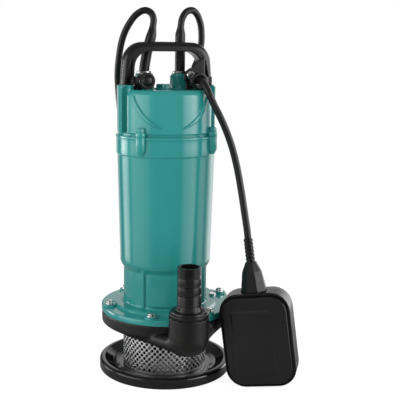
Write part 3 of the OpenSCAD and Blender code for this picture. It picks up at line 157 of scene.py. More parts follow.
class PumpSizeSettings(bpy.types.PropertyGroup):
    """Sizes that a user would change"""

    cable_d: FloatProperty(
        name="Cable diameter", description="Outer diameter of both cables", unit="LENGTH",
        min=0.007, max=0.008, default=0.008)
    sleeve_d: FloatProperty(
        name="Sleeve diameter", description="Outer diameter of the rubber sleeves on the glands",
        unit="LENGTH", min=0.0105, max=0.0124, default=0.0122)
    hole_d: FloatProperty(
        name="Strainer hole", description="Diameter of one hole of the strainer", unit="LENGTH",
        min=0.002, max=0.0042, default=0.004)
    holes: IntProperty(
        name="Holes in a row", description="Holes in one row around the strainer",
        min=40, max=56, default=48)
    hole_rows: IntProperty(
        name="Rows of holes", description="Rows of holes, one above the other", min=8, max=14, default=11)


class PumpStageSettings(bpy.types.PropertyGroup):
    """Camera and light of the studio"""

    camera_distance: FloatProperty(
        name="Camera distance", description="From the pump's axis to the camera, along the floor",
        unit="LENGTH", min=0.5, max=3, default=0.93)
    camera_height: FloatProperty(
        name="Camera height", description="Above the floor", unit="LENGTH", min=0, max=2, default=0.37)
    camera_turn: FloatProperty(
        name="Camera turn", description="Round the pump, from straight ahead", subtype="ANGLE",
        min=-math.pi, max=math.pi, default=math.radians(-17))
    camera_dip: FloatProperty(
        name="Camera dip", description="Below the horizontal", subtype="ANGLE",
        min=0, max=math.pi / 2, default=math.radians(10))
    camera_roll: FloatProperty(
        name="Camera roll", description="About its own axis", subtype="ANGLE",
        min=-0.2, max=0.2, default=math.radians(0.4))
    focal_length: FloatProperty(
        name="Focal length", description="On a sensor 36 mm wide", unit="CAMERA",
        min=20, max=200, default=71.2)
    shift: FloatProperty(
        name="Shift", description="Sideways shift of the picture, in parts of its width",
        min=-0.5, max=0.5, default=0.08625)
    box_glow: FloatProperty(
        name="Softbox brightness", description="Radiance of the two softboxes beside the camera",
        min=0, max=10, default=2.2)


# ---------- curves ----------

def unit(v):
    """Vectors at a length of one"""
    return v / np.linalg.norm(v, axis=-1, keepdims=True)


def smooth_step(low, high, x):
    """0 below low, 1 above high, and 3t² - 2t³ between them"""
    t = np.clip((x - low) / (high - low), 0, 1)
    return t * t * (3 - 2 * t)


def smooth_max(a, b, width):
    """The larger of two values, rounded off where they cross: a fillet of about that width"""
    h = np.clip(0.5 + 0.5 * (a - b) / width, 0, 1)
    return b + (a - b) * h + width * h * (1 - h)


def smooth_route(points, steps=8):
    """Curve through given points a, b, c, d: (2b + (c-a)t + (2a-5b+4c-d)t² + (3b-a-3c+d)t³) / 2"""
    p = np.asarray(points, float)
    n = np.arange(len(p) - 1)
    a, b, c, d = (p[np.clip(n + k, 0, len(p) - 1)][:, None] for k in (-1, 0, 1, 2))
    t = (np.arange(steps) / steps)[None, :, None]
    curve = 0.5 * (2 * b + (c - a) * t + (2 * a - 5 * b + 4 * c - d) * t ** 2 + (3 * b - a - 3 * c + d) * t ** 3)
    return np.vstack([curve.reshape(-1, 3), p[-1:]])


def arc(x, y, radius, start, end, steps):
    """Points of an arc about (x, y), with angles in degrees"""
    a = np.radians(np.linspace(start, end, steps + 1))
    return np.column_stack([x + radius * np.cos(a), y + radius * np.sin(a)])


def at_angle(reach, degrees):
    """The place at a distance from the axis, at an angle"""
    return reach * math.cos(math.radians(degrees)), reach * math.sin(math.radians(degrees))


def filleted(corners, steps=4):
    """Profile through corners (x, y, radius): a corner with a radius becomes the arc that touches both sides"""
    points = np.array([corner[:2] for corner in corners], float)
    out = [points[:1]]
    for before, corner, after, (_, _, radius) in zip(points[:-2], points[1:-1], points[2:], corners[1:-1]):
        if not radius:
            out.append(corner[None])
            continue
        u, v = unit(before - corner), unit(after - corner)
        half = math.acos(np.clip(u @ v, -1, 1)) / 2
        reach = min(radius / math.tan(half), 0.48 * np.linalg.norm(before - corner),
                    0.48 * np.linalg.norm(after - corner))
        t = np.linspace(0, 1, steps + 1)[:, None]
        centre = corner + unit(u + v) * reach / math.cos(half)
        start, end = corner + u * reach - centre, corner + v * reach - centre
        turn = math.pi - 2 * half
        out.append(centre + (start * np.sin((1 - t) * turn) + end * np.sin(t * turn)) / math.sin(turn))
    out.append(points[-1:])
    return np.vstack(out)


def refined(profile, step, bands=()):
    """The same profile with more points: no gap above step, and above a finer one between a band's two heights"""
    gaps = np.linalg.norm(np.diff(profile, axis=0), axis=1)
    out = []
    for start, end, gap in zip(profile[:-1], profile[1:], gaps):
        low, high = sorted((start[1], end[1]))
        fine = min([step] + [size for z0, z1, size in bands if low < z1 and high > z0])
        count = max(1, math.ceil(gap / fine))
        out.append(start + (end - start) * (np.arange(count) / count)[:, None])
    return np.vstack(out + [profile[-1:]])


# ---------- shells: points and faces ----------

def grid(points, close_rows=False, close_columns=True):
    """A surface from a grid of points: one quad (i, j), (i, j+1), (i+1, j+1), (i+1, j) for each cell"""
    rows, columns = points.shape[:2]
    i = np.arange(rows if close_rows else rows - 1)[:, None]
    j = np.arange(columns if close_columns else columns - 1)[None, :]
    across, up = (j + 1) % columns, (i + 1) % rows
    quads = np.stack([i * columns + j, i * columns + across, up * columns + across, up * columns + j], -1)
    return points.reshape(-1, 3), [quads.reshape(-1, 4)]


def lathe(profile, segments=96, centre=(0.0, 0.0), closed=False):
    """A profile of radius and height turned round an upright axis: centre + radius·(cos, sin), height"""
    turn = np.linspace(0, FULL_TURN, segments, endpoint=False)
    radius, height = np.asarray(profile, float).T[:, :, None]
    return grid(np.stack([centre[0] + radius * np.cos(turn), centre[1] + radius * np.sin(turn),
                          height + 0 * turn], -1), close_rows=closed)


def rod(radius, low, high, x, y, segments=20):
    """A plain upright rod between two heights"""
    return lathe([(0, low), (radius, low), (radius, high), (0, high)], segments, (x, y))


def capped(rows):
    """A closed shell through rings of points, with a flat face across its first and its last ring"""
    points, faces = grid(np.stack(rows))
    n, last = len(rows[0]), len(rows) - 1
    return points, faces + [np.arange(n)[None, ::-1], last * n + np.arange(n)[None]]


def at_height(flat, z):
    """A flat outline as points at one height"""
    return np.column_stack([flat, np.full(len(flat), z)])


def loft(outline, rows):
    """A flat outline carried through rows of height and inset. A corner moves by inset along the mean of its two
    sides' outward directions, over the cosine between that and a side."""
    outline = np.asarray(outline, float)
    ahead, behind = unit(np.roll(outline, -1, 0) - outline), unit(outline - np.roll(outline, 1, 0))
    out = unit(np.column_stack([ahead[:, 1] + behind[:, 1], -ahead[:, 0] - behind[:, 0]]))
    out /= np.maximum((out * np.column_stack([ahead[:, 1], -ahead[:, 0]])).sum(1, keepdims=True), 0.5)
    return capped([at_height(outline - inset * out, z) for z, inset in rows])


def placed(shell, x, y, z, turn=0):
    """A shell turned about the upright axis, in degrees, and moved"""
    a = math.radians(turn)
    return turned(shell, [[math.cos(a), math.sin(a), 0], [-math.sin(a), math.cos(a), 0], [0, 0, 1]], (x, y, z))


def turned(shell, axes, origin=(0, 0, 0)):
    """A shell with its x, y and z along the three given axes, from a new origin"""
    points, faces = shell
    return points @ np.asarray(axes, float) + np.asarray(origin, float), faces


def along_y(shell, origin):
    """A shell made about the upright axis, laid down so that its height runs along -y"""
    return turned(shell, [[1, 0, 0], [0, 0, 1], [0, -1, 0]], origin)


def sweep(path, section, side=(0, 0, 1)):
    """Sections carried along a path. Each point is path + a·side + b·up, where side is the given vector made
    square to the path and up is square to both. The ends are closed on the path."""
    path = np.asarray(path, float)
    ahead = unit(np.gradient(path, axis=0))
    side = np.broadcast_to(np.asarray(side, float), path.shape)
    side = unit(side - (side * ahead).sum(1, keepdims=True) * ahead)
    up = np.cross(ahead, side)
    rings = path[:, None] + section[..., :1] * side[:, None] + section[..., 1:2] * up[:, None]
    ends = [np.broadcast_to(p, rings.shape[1:])[None] for p in (rings[0].mean(0), rings[-1].mean(0))]
    return grid(np.concatenate([ends[0], rings, ends[1]]))


def tube(path, radius, sides=16, side=(0, 0, 1)):
    """A round tube along a path, its radius one number or one for each point"""
    turn = np.linspace(0, FULL_TURN, sides, endpoint=False)
    radius = np.broadcast_to(np.asarray(radius, float), (len(path),))
    circle = np.stack([np.cos(turn), np.sin(turn)], -1)
    return sweep(path, radius[:, None, None] * circle[None], side)


def hex_radius(turn, across_corners):
    """Distance from a hexagon's centre to its side, at an angle: apothem / cos(angle from the flat's middle)"""
    apothem = across_corners / 2 * math.cos(math.pi / 6)
    return apothem / np.cos((turn % (math.pi / 3)) - math.pi / 6)


def hex_head(across_corners, height, chamfer=0.8, bore_r=0.0):
    """A hexagon head: the least of the hexagon's radius and a cone that cuts its corners at both ends"""
    turn = np.linspace(0, FULL_TURN, 72, endpoint=False)
    foot_h, crown_h, slope = 0.8, 1.4, 1.9
    z = np.array([0, 0.3, foot_h, height - crown_h, height - 1.0, height - 0.6, height - 0.3, height])
    crown = chamfer * slope * np.clip((z - (height - crown_h)) / crown_h, 0, 1) ** 1.4
    foot = 0.5 * np.clip((foot_h - z) / foot_h, 0, 1)
    cone = across_corners / 2 - np.maximum(crown, foot)
    radius = np.minimum(hex_radius(turn, across_corners), cone[:, None])
    return polar_shell([(bore_r, 0.0), *zip(radius, z), (bore_r, height)], turn, close_rows=bore_r > 0)


def polar_shell(rows, turn, close_rows=False):
    """A surface from rows of radius and height, radius·(cos turn, sin turn), height. Each is a number or one value
    for each angle."""
    points = [np.stack([r * np.cos(turn), r * np.sin(turn), z + 0 * turn], -1) for r, z in rows]
    return grid(np.stack(points), close_rows=close_rows)


def rounded_rectangle(half_x, half_y, radius, steps=4):
    """Outline of a rectangle with round corners: sign·(half - radius) + radius·(cos, sin)"""
    a = np.radians(np.concatenate([np.linspace(q, q + 90, steps + 1) for q in (0, 90, 180, 270)]))
    sx = np.repeat([1, -1, -1, 1], steps + 1)
    sy = np.repeat([1, 1, -1, -1], steps + 1)
    half_x, half_y, radius = (np.asarray(v, float)[..., None] for v in (half_x, half_y, radius))
    return np.stack([sx * (half_x - radius) + radius * np.cos(a), sy * (half_y - radius) + radius * np.sin(a)], -1)


def float_pose(points):
    """Points of the float's own frame, leant and turned to where it stands"""
    lean, yaw = math.radians(-FLOAT_LEAN), math.radians(FLOAT_YAW)
    tilt = np.array([[math.cos(lean), 0, math.sin(lean)], [0, 1, 0], [-math.sin(lean), 0, math.cos(lean)]])
    spin = np.array([[math.cos(yaw), -math.sin(yaw), 0], [math.sin(yaw), math.cos(yaw), 0], [0, 0, 1]])
    return points @ (spin @ tilt).T + np.array(FLOAT_AT)


def build(name, shells, finish, body="pump", replaces=(), crease=35.0):
    """Join shells into one piece with its place in its mesh, close seams and poles, and hang it on its body"""
    points, faces, start = [], [], 0
    for shell_points, shell_faces in shells:
        points.append(shell_points)
        faces += [rows + start for rows in shell_faces]
        start += len(shell_points)
    mesh = bpy.data.meshes.new(name)
    mesh.from_pydata((np.concatenate(points) * MM).tolist(), [], [row for rows in faces for row in rows.tolist()])
    work = bmesh.new()
    work.from_mesh(mesh)
    bmesh.ops.remove_doubles(work, verts=work.verts, dist=5e-7)
    bmesh.ops.recalc_face_normals(work, faces=work.faces)
    work.to_mesh(mesh)
    work.free()
    mesh.shade_smooth()
    mesh.set_sharp_from_angle(angle=math.radians(crease))
    mesh.materials.append(bpy.data.materials[finish])
    piece = bpy.data.objects.new(name, mesh)
    bpy.context.scene.collection.objects.link(piece)
    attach(piece, body)
    if replaces:
        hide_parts(*replaces)
    return piece


# ---------- finishes ----------

DUST = (0.42, 0.41, 0.38)
FINISH_OF = {
    "teal_enamel": "motor_housing top_cover cover_bolts filler_plug gland_nuts",
    "gloss_black": "base_plate",
    "cast_black": "pump_casing",
    "moulded_black": "handle hose_tail hose_collar capacitor_clip micro_switch",
    "float_black": "float_front_shell float_back_shell",
    "cable_rubber": "left_sleeve right_sleeve ring_plug mains_plug float_neck",
    "seal_rubber": "casing_gasket lip_seal cover_oring float_seal",
    "strainer_steel": "strainer",
    "bright_steel": "flange_bolts earth_screw handle_screws clamp_screw impeller_nut lower_bearing_balls "
                    "upper_bearing_balls switch_ball",
    "turned_steel": "base_bolts gland_washers shaft shaft_key seal_spring switch_lever lower_bearing_outer "
                    "lower_bearing_inner upper_bearing_outer upper_bearing_inner",
    "core_steel": "stator_core rotor_core float_weight",
    "cast_aluminium": "seal_plate upper_bracket",
    "varnished_copper": "end_windings",
    "cast_brass": "impeller",
    "carbon_ring": "seal_face",
    "seal_ceramic": "seal_seat",
    "white_plastic": "capacitor ball_tube"}


def new_group(name, inputs, outputs):
    """An empty shader group with number sockets: the group, what it is given, what it puts out, and where it is"""
    group = bpy.data.node_groups.new(name, "ShaderNodeTree")
    for socket, value in inputs.items():
        made = group.interface.new_socket(socket, in_out="INPUT", socket_type="NodeSocketFloat")
        made.default_value = value
    for socket in outputs:
        group.interface.new_socket(socket, in_out="OUTPUT", socket_type="NodeSocketFloat")
    where = group.nodes.new("ShaderNodeTexCoord").outputs["Object"]
    return group, group.nodes.new("NodeGroupInput").outputs, group.nodes.new("NodeGroupOutput").inputs, where


def feed(tree, value, socket):
    """Link a socket to another one, or set its number or colour"""
    if hasattr(value, "links"):
        tree.links.new(value, socket)
    else:
        socket.default_value = (*value, 1) if socket.type == "RGBA" else value


def maths(tree, operation, first, second):
    """A Math node fed by sockets or numbers"""
    node = tree.nodes.new("ShaderNodeMath")
    node.operation = operation
    feed(tree, first, node.inputs[0])
    feed(tree, second, node.inputs[1])
    return node.outputs[0]


def mapped(tree, value, low=0.0, high=1.0, to_low=0.0, to_high=1.0):
    """A value carried from low..high to to_low..to_high, and held there"""
    node = tree.nodes.new("ShaderNodeMapRange")
    for socket, given in (("Value", value), ("From Min", low), ("From Max", high), ("To Min", to_low),
                          ("To Max", to_high)):
        feed(tree, given, node.inputs[socket])
    return node.outputs["Result"]


def noise(tree, where, scale, detail, roughness=0.5):
    """A noise texture, from 0 to 1"""
    node = tree.nodes.new("ShaderNodeTexNoise")
    for socket, given in (("Vector", where), ("Scale", scale), ("Detail", detail), ("Roughness", roughness)):
        feed(tree, given, node.inputs[socket])
    return node.outputs["Fac"]


def make_cloud_group():
    """Soft patches and fine specks: two noises, each stretched to fill 0 to 1"""
    group, given, out, where = new_group(
        "soft_patches", {"Patch Scale": 20.0, "Speck Scale": 300.0}, ("Patches", "Specks"))
    patches = noise(group, where, given["Patch Scale"], 3.0)
    specks = noise(group, where, given["Speck Scale"], 2.0, 0.6)
    feed(group, mapped(group, patches, 0.3, 0.7), out["Patches"])
    feed(group, mapped(group, specks, 0.35, 0.75), out["Specks"])


def make_relief_group():
    """Surface relief: broad waves of a sprayed or rolled skin plus the fine grain of a mould or casting"""
    group, given, out, where = new_group(
        "skin_relief", {"Wave Scale": 60.0, "Wave Height": 0.5, "Grain Scale": 900.0, "Grain Height": 0.5},
        ("Height",))
    wave = maths(group, "MULTIPLY", noise(group, where, given["Wave Scale"], 1.0), given["Wave Height"])
    grain = maths(group, "MULTIPLY", noise(group, where, given["Grain Scale"], 2.0, 0.6), given["Grain Height"])
    feed(group, maths(group, "ADD", wave, grain), out["Height"])


def make_rub_group():
    """Rubbed edges: the mesh's pointed places, broken up by noise"""
    group, given, out, where = new_group("rubbed_edges", {"Amount": 0.3}, ("Mask",))
    pointed = group.nodes.new("ShaderNodeNewGeometry").outputs["Pointiness"]
    broken = maths(group, "MULTIPLY", mapped(group, pointed, 0.53, 0.62), noise(group, where, 140.0, 3.0, 0.7))
    feed(group, maths(group, "MULTIPLY", broken, given["Amount"]), out["Mask"])


def make_dust_group():
    """Thin dust: faces that look up, in soft patches"""
    group, given, out, where = new_group("settled_dust", {"Amount": 0.1}, ("Mask",))
    apart = group.nodes.new("ShaderNodeSeparateXYZ")
    feed(group, group.nodes.new("ShaderNodeNewGeometry").outputs["Normal"], apart.inputs["Vector"])
    thick = maths(group, "MULTIPLY", mapped(group, apart.outputs["Z"], 0.3), noise(group, where, 55.0, 4.0, 0.65))
    feed(group, maths(group, "MULTIPLY", thick, given["Amount"]), out["Mask"])


def place_group(tree, name, values):
    """A group node with its own values"""
    node = tree.nodes.new("ShaderNodeGroup")
    node.node_tree = bpy.data.node_groups[name]
    for socket, value in values.items():
        node.inputs[socket].default_value = value
    return node


def mixed(tree, factor, first, second):
    """A colour between two, by a factor that changes over the surface"""
    node = tree.nodes.new("ShaderNodeMix")
    node.data_type = "RGBA"
    feed(tree, factor, node.inputs[0])
    feed(tree, first, node.inputs[6])
    feed(tree, second, node.inputs[7])
    return node.outputs[2]


def make_finish(name, colour, shade=0.85, rough=(0.3, 0.4), metallic=0.0, specular=0.5, patch=20.0, speck=300.0,
                wave=(60.0, 0.4), grain=(900.0, 0.4), relief=0.05, rub=0.0, dust=0.0):
    """A material: colour shaded in patches, roughness in specks, relief as bump, rubbed edges and dust"""
    material = bpy.data.materials.new(name)
    material.use_nodes = True
    tree = material.node_tree
    shader = tree.nodes["Principled BSDF"]
    clouds = place_group(tree, "soft_patches", {"Patch Scale": patch, "Speck Scale": speck})
    base = mixed(tree, clouds.outputs["Patches"], colour, [c * shade for c in colour])
    if rub:
        mask = place_group(tree, "rubbed_edges", {"Amount": rub}).outputs["Mask"]
        base = mixed(tree, mask, base, [min(1.0, c * 2.2 + 0.02) for c in colour])
    if dust:
        mask = place_group(tree, "settled_dust", {"Amount": dust}).outputs["Mask"]
        base = mixed(tree, mask, base, DUST)
    skin = place_group(tree, "skin_relief", {"Wave Scale": wave[0], "Wave Height": wave[1],
                                             "Grain Scale": grain[0], "Grain Height": grain[1]})
    bump = tree.nodes.new("ShaderNodeBump")
    bump.inputs["Strength"].default_value = 1.0
    bump.inputs["Distance"].default_value = relief * MM
    feed(tree, skin.outputs["Height"], bump.inputs["Height"])
    roughness = mapped(tree, clouds.outputs["Specks"], 0.0, 1.0, *rough)
    for socket, value in (("Base Color", base), ("Roughness", roughness), ("Normal", bump.outputs["Normal"]),
                          ("Metallic", metallic), ("Specular IOR Level", specular)):
        feed(tree, value, shader.inputs[socket])


class SUMP_OT_finishes(bpy.types.Operator):
    """Make the shader groups and materials, and give each CAD node its finish"""

    bl_idname = "sump.finishes"
    bl_label = "Finishes"

    def execute(self, context):
        colours = context.scene.sump_finish
        make_cloud_group()
        make_relief_group()
        make_rub_group()
        make_dust_group()
        make_finish("teal_enamel", tuple(colours.enamel), shade=0.9, rough=(0.1, 0.16), patch=14, speck=500,
                    wave=(110, 0.35), grain=(1500, 0.05), relief=0.02, rub=0.12)
        make_finish("gloss_black", (0.0035, 0.0036, 0.0035), shade=0.8, rough=(0.07, 0.13), patch=18, speck=260,
                    wave=(90, 0.3), grain=(1200, 0.05), relief=0.015, dust=0.008)
        make_finish("cast_black", tuple(colours.casing), shade=0.8, rough=(0.34, 0.48), patch=40, speck=420,
                    wave=(240, 0.5), grain=(900, 0.7), relief=0.14, rub=0.03, dust=0.003, specular=0.34)
        make_finish("moulded_black", tuple(colours.moulding), shade=0.85, rough=(0.24, 0.34), patch=30, speck=700,
                    wave=(80, 0.2), grain=(1700, 0.4), relief=0.004, rub=0.01, dust=0.003, specular=0.4)
        make_finish("float_black", (0.0036, 0.0037, 0.0034), shade=0.85, rough=(0.3, 0.42), patch=24, speck=600,
                    wave=(60, 0.3), grain=(1600, 0.5), relief=0.014, rub=0.02, dust=0.005)
        make_finish("cable_rubber", tuple(colours.rubber), shade=0.85, rough=(0.32, 0.46), patch=60, speck=500,
                    wave=(160, 0.4), grain=(1400, 0.4), relief=0.02, dust=0.008, specular=0.34)
        make_finish("seal_rubber", (0.004, 0.004, 0.004), rough=(0.5, 0.65), grain=(1100, 0.5), relief=0.04)
        make_finish("strainer_steel", (0.72, 0.73, 0.72), shade=0.9, rough=(0.4, 0.5), metallic=1.0, patch=90,
                    speck=800, wave=(70, 0.2), grain=(1500, 0.3), relief=0.008)
        # Painted shade: a dark copy of the strainer's steel on its inner side and on the walls of its holes, which
        # get hardly any light
        make_finish("painted_shade_steel", (0.05, 0.05, 0.05), shade=0.8, rough=(0.45, 0.6), metallic=1.0, relief=0.01)
        make_finish("bright_steel", (0.72, 0.72, 0.71), shade=0.85, rough=(0.16, 0.28), metallic=1.0, patch=160,
                    speck=900, grain=(1500, 0.3), relief=0.01)
        make_finish("turned_steel", (0.38, 0.39, 0.38), shade=0.85, rough=(0.26, 0.38), metallic=1.0, patch=60,
                    speck=700, grain=(1200, 0.4), relief=0.012)
        make_finish("core_steel", (0.2, 0.21, 0.22), shade=0.75, rough=(0.4, 0.55), metallic=1.0, patch=70,
                    speck=700, grain=(1300, 0.6), relief=0.03)
        make_finish("cast_aluminium", (0.5, 0.51, 0.52), shade=0.8, rough=(0.4, 0.55), metallic=1.0, patch=50,
                    speck=500, wave=(300, 0.5), grain=(900, 0.6), relief=0.08)
        make_finish("varnished_copper", (0.32, 0.11, 0.035), shade=0.7, rough=(0.3, 0.5), metallic=0.6,
                    patch=120, speck=700, wave=(300, 0.8), grain=(900, 0.5), relief=0.2)
        make_finish("cast_brass", (0.6, 0.42, 0.15), shade=0.8, rough=(0.28, 0.42), metallic=1.0, patch=60,
                    speck=600, wave=(200, 0.4), grain=(1000, 0.5), relief=0.05)
        make_finish("carbon_ring", (0.03, 0.03, 0.032), rough=(0.3, 0.45), grain=(1500, 0.3), relief=0.01)
        make_finish("seal_ceramic", (0.72, 0.69, 0.62), shade=0.95, rough=(0.15, 0.25), relief=0.005)
        make_finish("white_plastic", (0.66, 0.66, 0.62), shade=0.95, rough=(0.35, 0.5), relief=0.02)
        for finish, nodes in FINISH_OF.items():
            for node in nodes.split():
                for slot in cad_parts[node].material_slots:
                    slot.material = bpy.data.materials[finish]
        return {"FINISHED"}


# ---------- stage ----------

# The studio that glossy surfaces mirror: its white, its stops of bearing in degrees (0 towards the camera, 90 to the
# right) and radiance, and its dark parts
STUDIO_GLOW = 8.0
STUDIO_STOPS = [
    (-148, 0.7), (-140, 0.06), (-128, 0.06), (-117, 3.6), (-102, 3.0), (-97, 0.4), (-91, 0.25), (-86, 1.3),
    (-60, 1.1), (-39.5, 0.62), (-37.5, 0.16), (-23, 0.1), (-12, 0.17), (28, 0.17), (36, 0.08), (38.5, 0.2),
    (42, 0.9), (66, 2.25), (74, 2.0), (79, 0.35), (83, 0.25), (90, 1.4), (103, 1.4), (112, 0.3), (116, 0.3),
    (127, 1.6), (135, 2.3), (146, 2.0), (158, 1.1), (180, 1.0)]
STUDIO_DARK = (0.012, 0.012, 0.012)


class SUMP_OT_stage(bpy.types.Operator):
    """Make the camera, the floor, the softboxes and the studio's surroundings"""

    bl_idname = "sump.stage"
    bl_label = "Stage"

    def execute(self, context):
        scene = context.scene
        view = scene.sump_stage
        turn = view.camera_turn
        ahead = np.array([-math.sin(turn), math.cos(turn), 0.0])
        right = np.array([math.cos(turn), math.sin(turn), 0.0])

        camera = bpy.data.objects.new("camera", bpy.data.cameras.new("camera"))
        camera.data.lens = view.focal_length
        camera.data.sensor_width = 36.0
        camera.data.shift_x = view.shift
        camera.data.clip_start, camera.data.clip_end = 0.05, 30.0
        camera.matrix_world = (
            Matrix.Translation([*(-ahead[:2] * view.camera_distance), view.camera_height])
            @ Matrix.Rotation(turn, 4, "Z") @ Matrix.Rotation(math.pi / 2 - view.camera_dip, 4, "X")
            @ Matrix.Rotation(view.camera_roll, 4, "Z"))
        scene.collection.objects.link(camera)
        scene.camera = camera
        scene.view_settings.view_transform = "Standard"

        self.floor()
        for name, bearing, width in (("left_softbox", -58.0, 1.68), ("right_softbox", 56.7, 1.0)):
            toward, aside = at_angle(1.25, bearing)
            way = -ahead * toward + right * aside
            self.lamp(name, way + np.array([0, 0, 0.35]), -way / np.linalg.norm(way), (width, 2.2), view.box_glow)
        self.lamp("top_panel", np.array([0, 0, 1.9]), np.array([0, 0, -1.0]), (1.6, 1.6), 0.55)
        self.surroundings(scene, ahead, right)
        return {"FINISHED"}

    def floor(self):
        """A round table top, flat and pale. It glows where it is seen, and a little in reflections, so that it looks
        white and casts no light on the pump."""
        mesh = bpy.data.meshes.new("floor")
        rim = at_height(arc(0, 60, 480, 0, 360, 96)[:-1], -0.2) * MM
        mesh.from_pydata(rim.tolist(), [], [list(range(len(rim)))])
        floor = bpy.data.objects.new("floor", mesh)
        bpy.context.scene.collection.objects.link(floor)
        material = bpy.data.materials.new("pale_floor")
        material.use_nodes = True
        tree = material.node_tree
        shader = tree.nodes["Principled BSDF"]
        shader.inputs["Base Color"].default_value = (0.24, 0.24, 0.24, 1)
        shader.inputs["Roughness"].default_value = 0.6
        rays = tree.nodes.new("ShaderNodeLightPath")
        seen = maths(tree, "MAXIMUM", rays.outputs["Is Camera Ray"], rays.outputs["Is Transmission Ray"])
        mirrored = maths(tree, "MULTIPLY", rays.outputs["Is Glossy Ray"], 0.12)
        shader.inputs["Emission Color"].default_value = (1, 1, 1, 1)
        feed(tree, maths(tree, "ADD", maths(tree, "MULTIPLY", seen, 0.88), mirrored),
             shader.inputs["Emission Strength"])
        mesh.materials.append(material)
        return floor

    def lamp(self, name, place, facing, size, glow):
        """A rectangular area lamp of a given radiance: power = radiance · area · pi"""
        light = bpy.data.lights.new(name, "AREA")
        light.shape = "RECTANGLE"
        light.size, light.size_y = size
        light.energy = glow * size[0] * size[1] * math.pi
        lamp = bpy.data.objects.new(name, light)
        back = -facing
        side = np.cross([0, 0, 1.0], back) if abs(back[2]) < 0.9 else np.array([1.0, 0, 0])
        side /= np.linalg.norm(side)
        up = np.cross(back, side)
        lamp.matrix_world = Matrix([[*row, p] for row, p in zip(np.column_stack([side, up, back]), place)]
                                   + [[0, 0, 0, 1]])
        lamp.visible_camera = False
        lamp.visible_glossy = False
        bpy.context.scene.collection.objects.link(lamp)

    def surroundings(self, scene, ahead, right):
        """The world: white to the camera, grey to dull surfaces, and a studio to glossy ones. The studio is a ring
        of pale boxes and dark gaps by their bearing, which is the arc tangent of the direction's parts to the right
        and towards the camera. It is dark overhead, and from the horizon up at the left behind the pump. Above the
        table it is 2.9 times as bright as below, but for the part straight behind the pump."""
        world = bpy.data.worlds.new("studio")
        scene.world = world
        world.use_nodes = True
        tree = world.node_tree
        tree.nodes.clear()
        way = tree.nodes.new("ShaderNodeTexCoord").outputs["Generated"]

        def along(axis):
            dot = tree.nodes.new("ShaderNodeVectorMath")
            dot.operation = "DOT_PRODUCT"
            feed(tree, way, dot.inputs[0])
            feed(tree, axis, dot.inputs[1])
            return dot.outputs["Value"]

        def product(first, second):
            return maths(tree, "MULTIPLY", first, second)

        bearing = maths(tree, "ARCTAN2", along(right), along(-ahead))
        ramp = tree.nodes.new("ShaderNodeValToRGB")
        feed(tree, mapped(tree, bearing, -math.pi, math.pi), ramp.inputs["Fac"])
        elements = ramp.color_ramp.elements
        elements.remove(elements[0])
        elements[0].position = 0.0
        elements[0].color = (*[1 / STUDIO_GLOW] * 3, 1)
        for degrees, radiance in STUDIO_STOPS:
            elements.new(degrees / 360 + 0.5).color = (*[radiance / STUDIO_GLOW] * 3, 1)

        rise = along((0, 0, 1))
        glossy = mixed(tree, mapped(tree, rise, 0.38, 0.52), ramp.outputs["Color"], STUDIO_DARK)
        left_behind = product(mapped(tree, along(-right), 0.14, 0.22), mapped(tree, along(ahead), -0.1, 0.1))
        glossy = mixed(tree, product(left_behind, mapped(tree, rise, 0.06, 0.1)), glossy, STUDIO_DARK)
        upper = product(mapped(tree, along(-ahead), -0.8, -0.6), mapped(tree, rise, -0.155, -0.05))
        strength = product(maths(tree, "ADD", product(upper, 1.9), 1.0), STUDIO_GLOW)
        rays = tree.nodes.new("ShaderNodeLightPath")
        seen = maths(tree, "MAXIMUM", rays.outputs["Is Camera Ray"], rays.outputs["Is Transmission Ray"])
        result = self.glow(tree, (0.5, 0.5, 0.5), 1.0)
        for factor, light in ((rays.outputs["Is Glossy Ray"], self.glow(tree, glossy, strength)),
                              (seen, self.glow(tree, (1.0, 1.0, 1.0), 1.0))):
            mix = tree.nodes.new("ShaderNodeMixShader")
            for socket, value in zip(mix.inputs, (factor, result, light)):
                feed(tree, value, socket)
            result = mix.outputs["Shader"]
        feed(tree, result, tree.nodes.new("ShaderNodeOutputWorld").inputs["Surface"])

    def glow(self, tree, colour, strength):
        """A background light of a colour and strength"""
        light = tree.nodes.new("ShaderNodeBackground")
        feed(tree, colour, light.inputs["Color"])
        feed(tree, strength, light.inputs["Strength"])
        return light.outputs["Background"]


# ---------- cables ----------

def coil_path(rings=72):
    """The stored coil: each layer winds out or in by a step a turn, then climbs in half a turn. Points are
    centre + radius(t)·(cos, sin) at height(t), where t counts turns."""
    span = COIL_TURNS + 0.5
    total = COIL_LAYERS * span - 0.5
    t = np.linspace(0, total, int(total * rings) + 1)
    layer = np.minimum(np.floor(t / span), COIL_LAYERS - 1)
    u = np.minimum((t - layer * span) / COIL_TURNS, 1)
    s = np.where(layer % 2 == 0, 1 - 2 * u, 2 * u - 1)
    radius = COIL_MID_R + s * COIL_TURNS * COIL_STEP / 2
    climb = np.maximum(t - layer * span - COIL_TURNS, 0) * 2
    angle = np.radians(COIL_ANGLE + 360 * t)
    points = np.column_stack([COIL_X + radius * np.cos(angle), COIL_Y + radius * np.sin(angle),
                              CABLE_R + (layer + climb) * COIL_RISE])
    return points, math.radians(COIL_ANGLE + 360 * total)


def in_coil_frame(points, end):
    """Points of the coil's own frame: turned by the angle where the coil ends, about its centre"""
    c, s = math.cos(end), math.sin(end)
    return np.asarray(points, float) @ np.array([[c, s, 0], [-s, c, 0], [0, 0, 1]]) + [COIL_X, COIL_Y, 0]


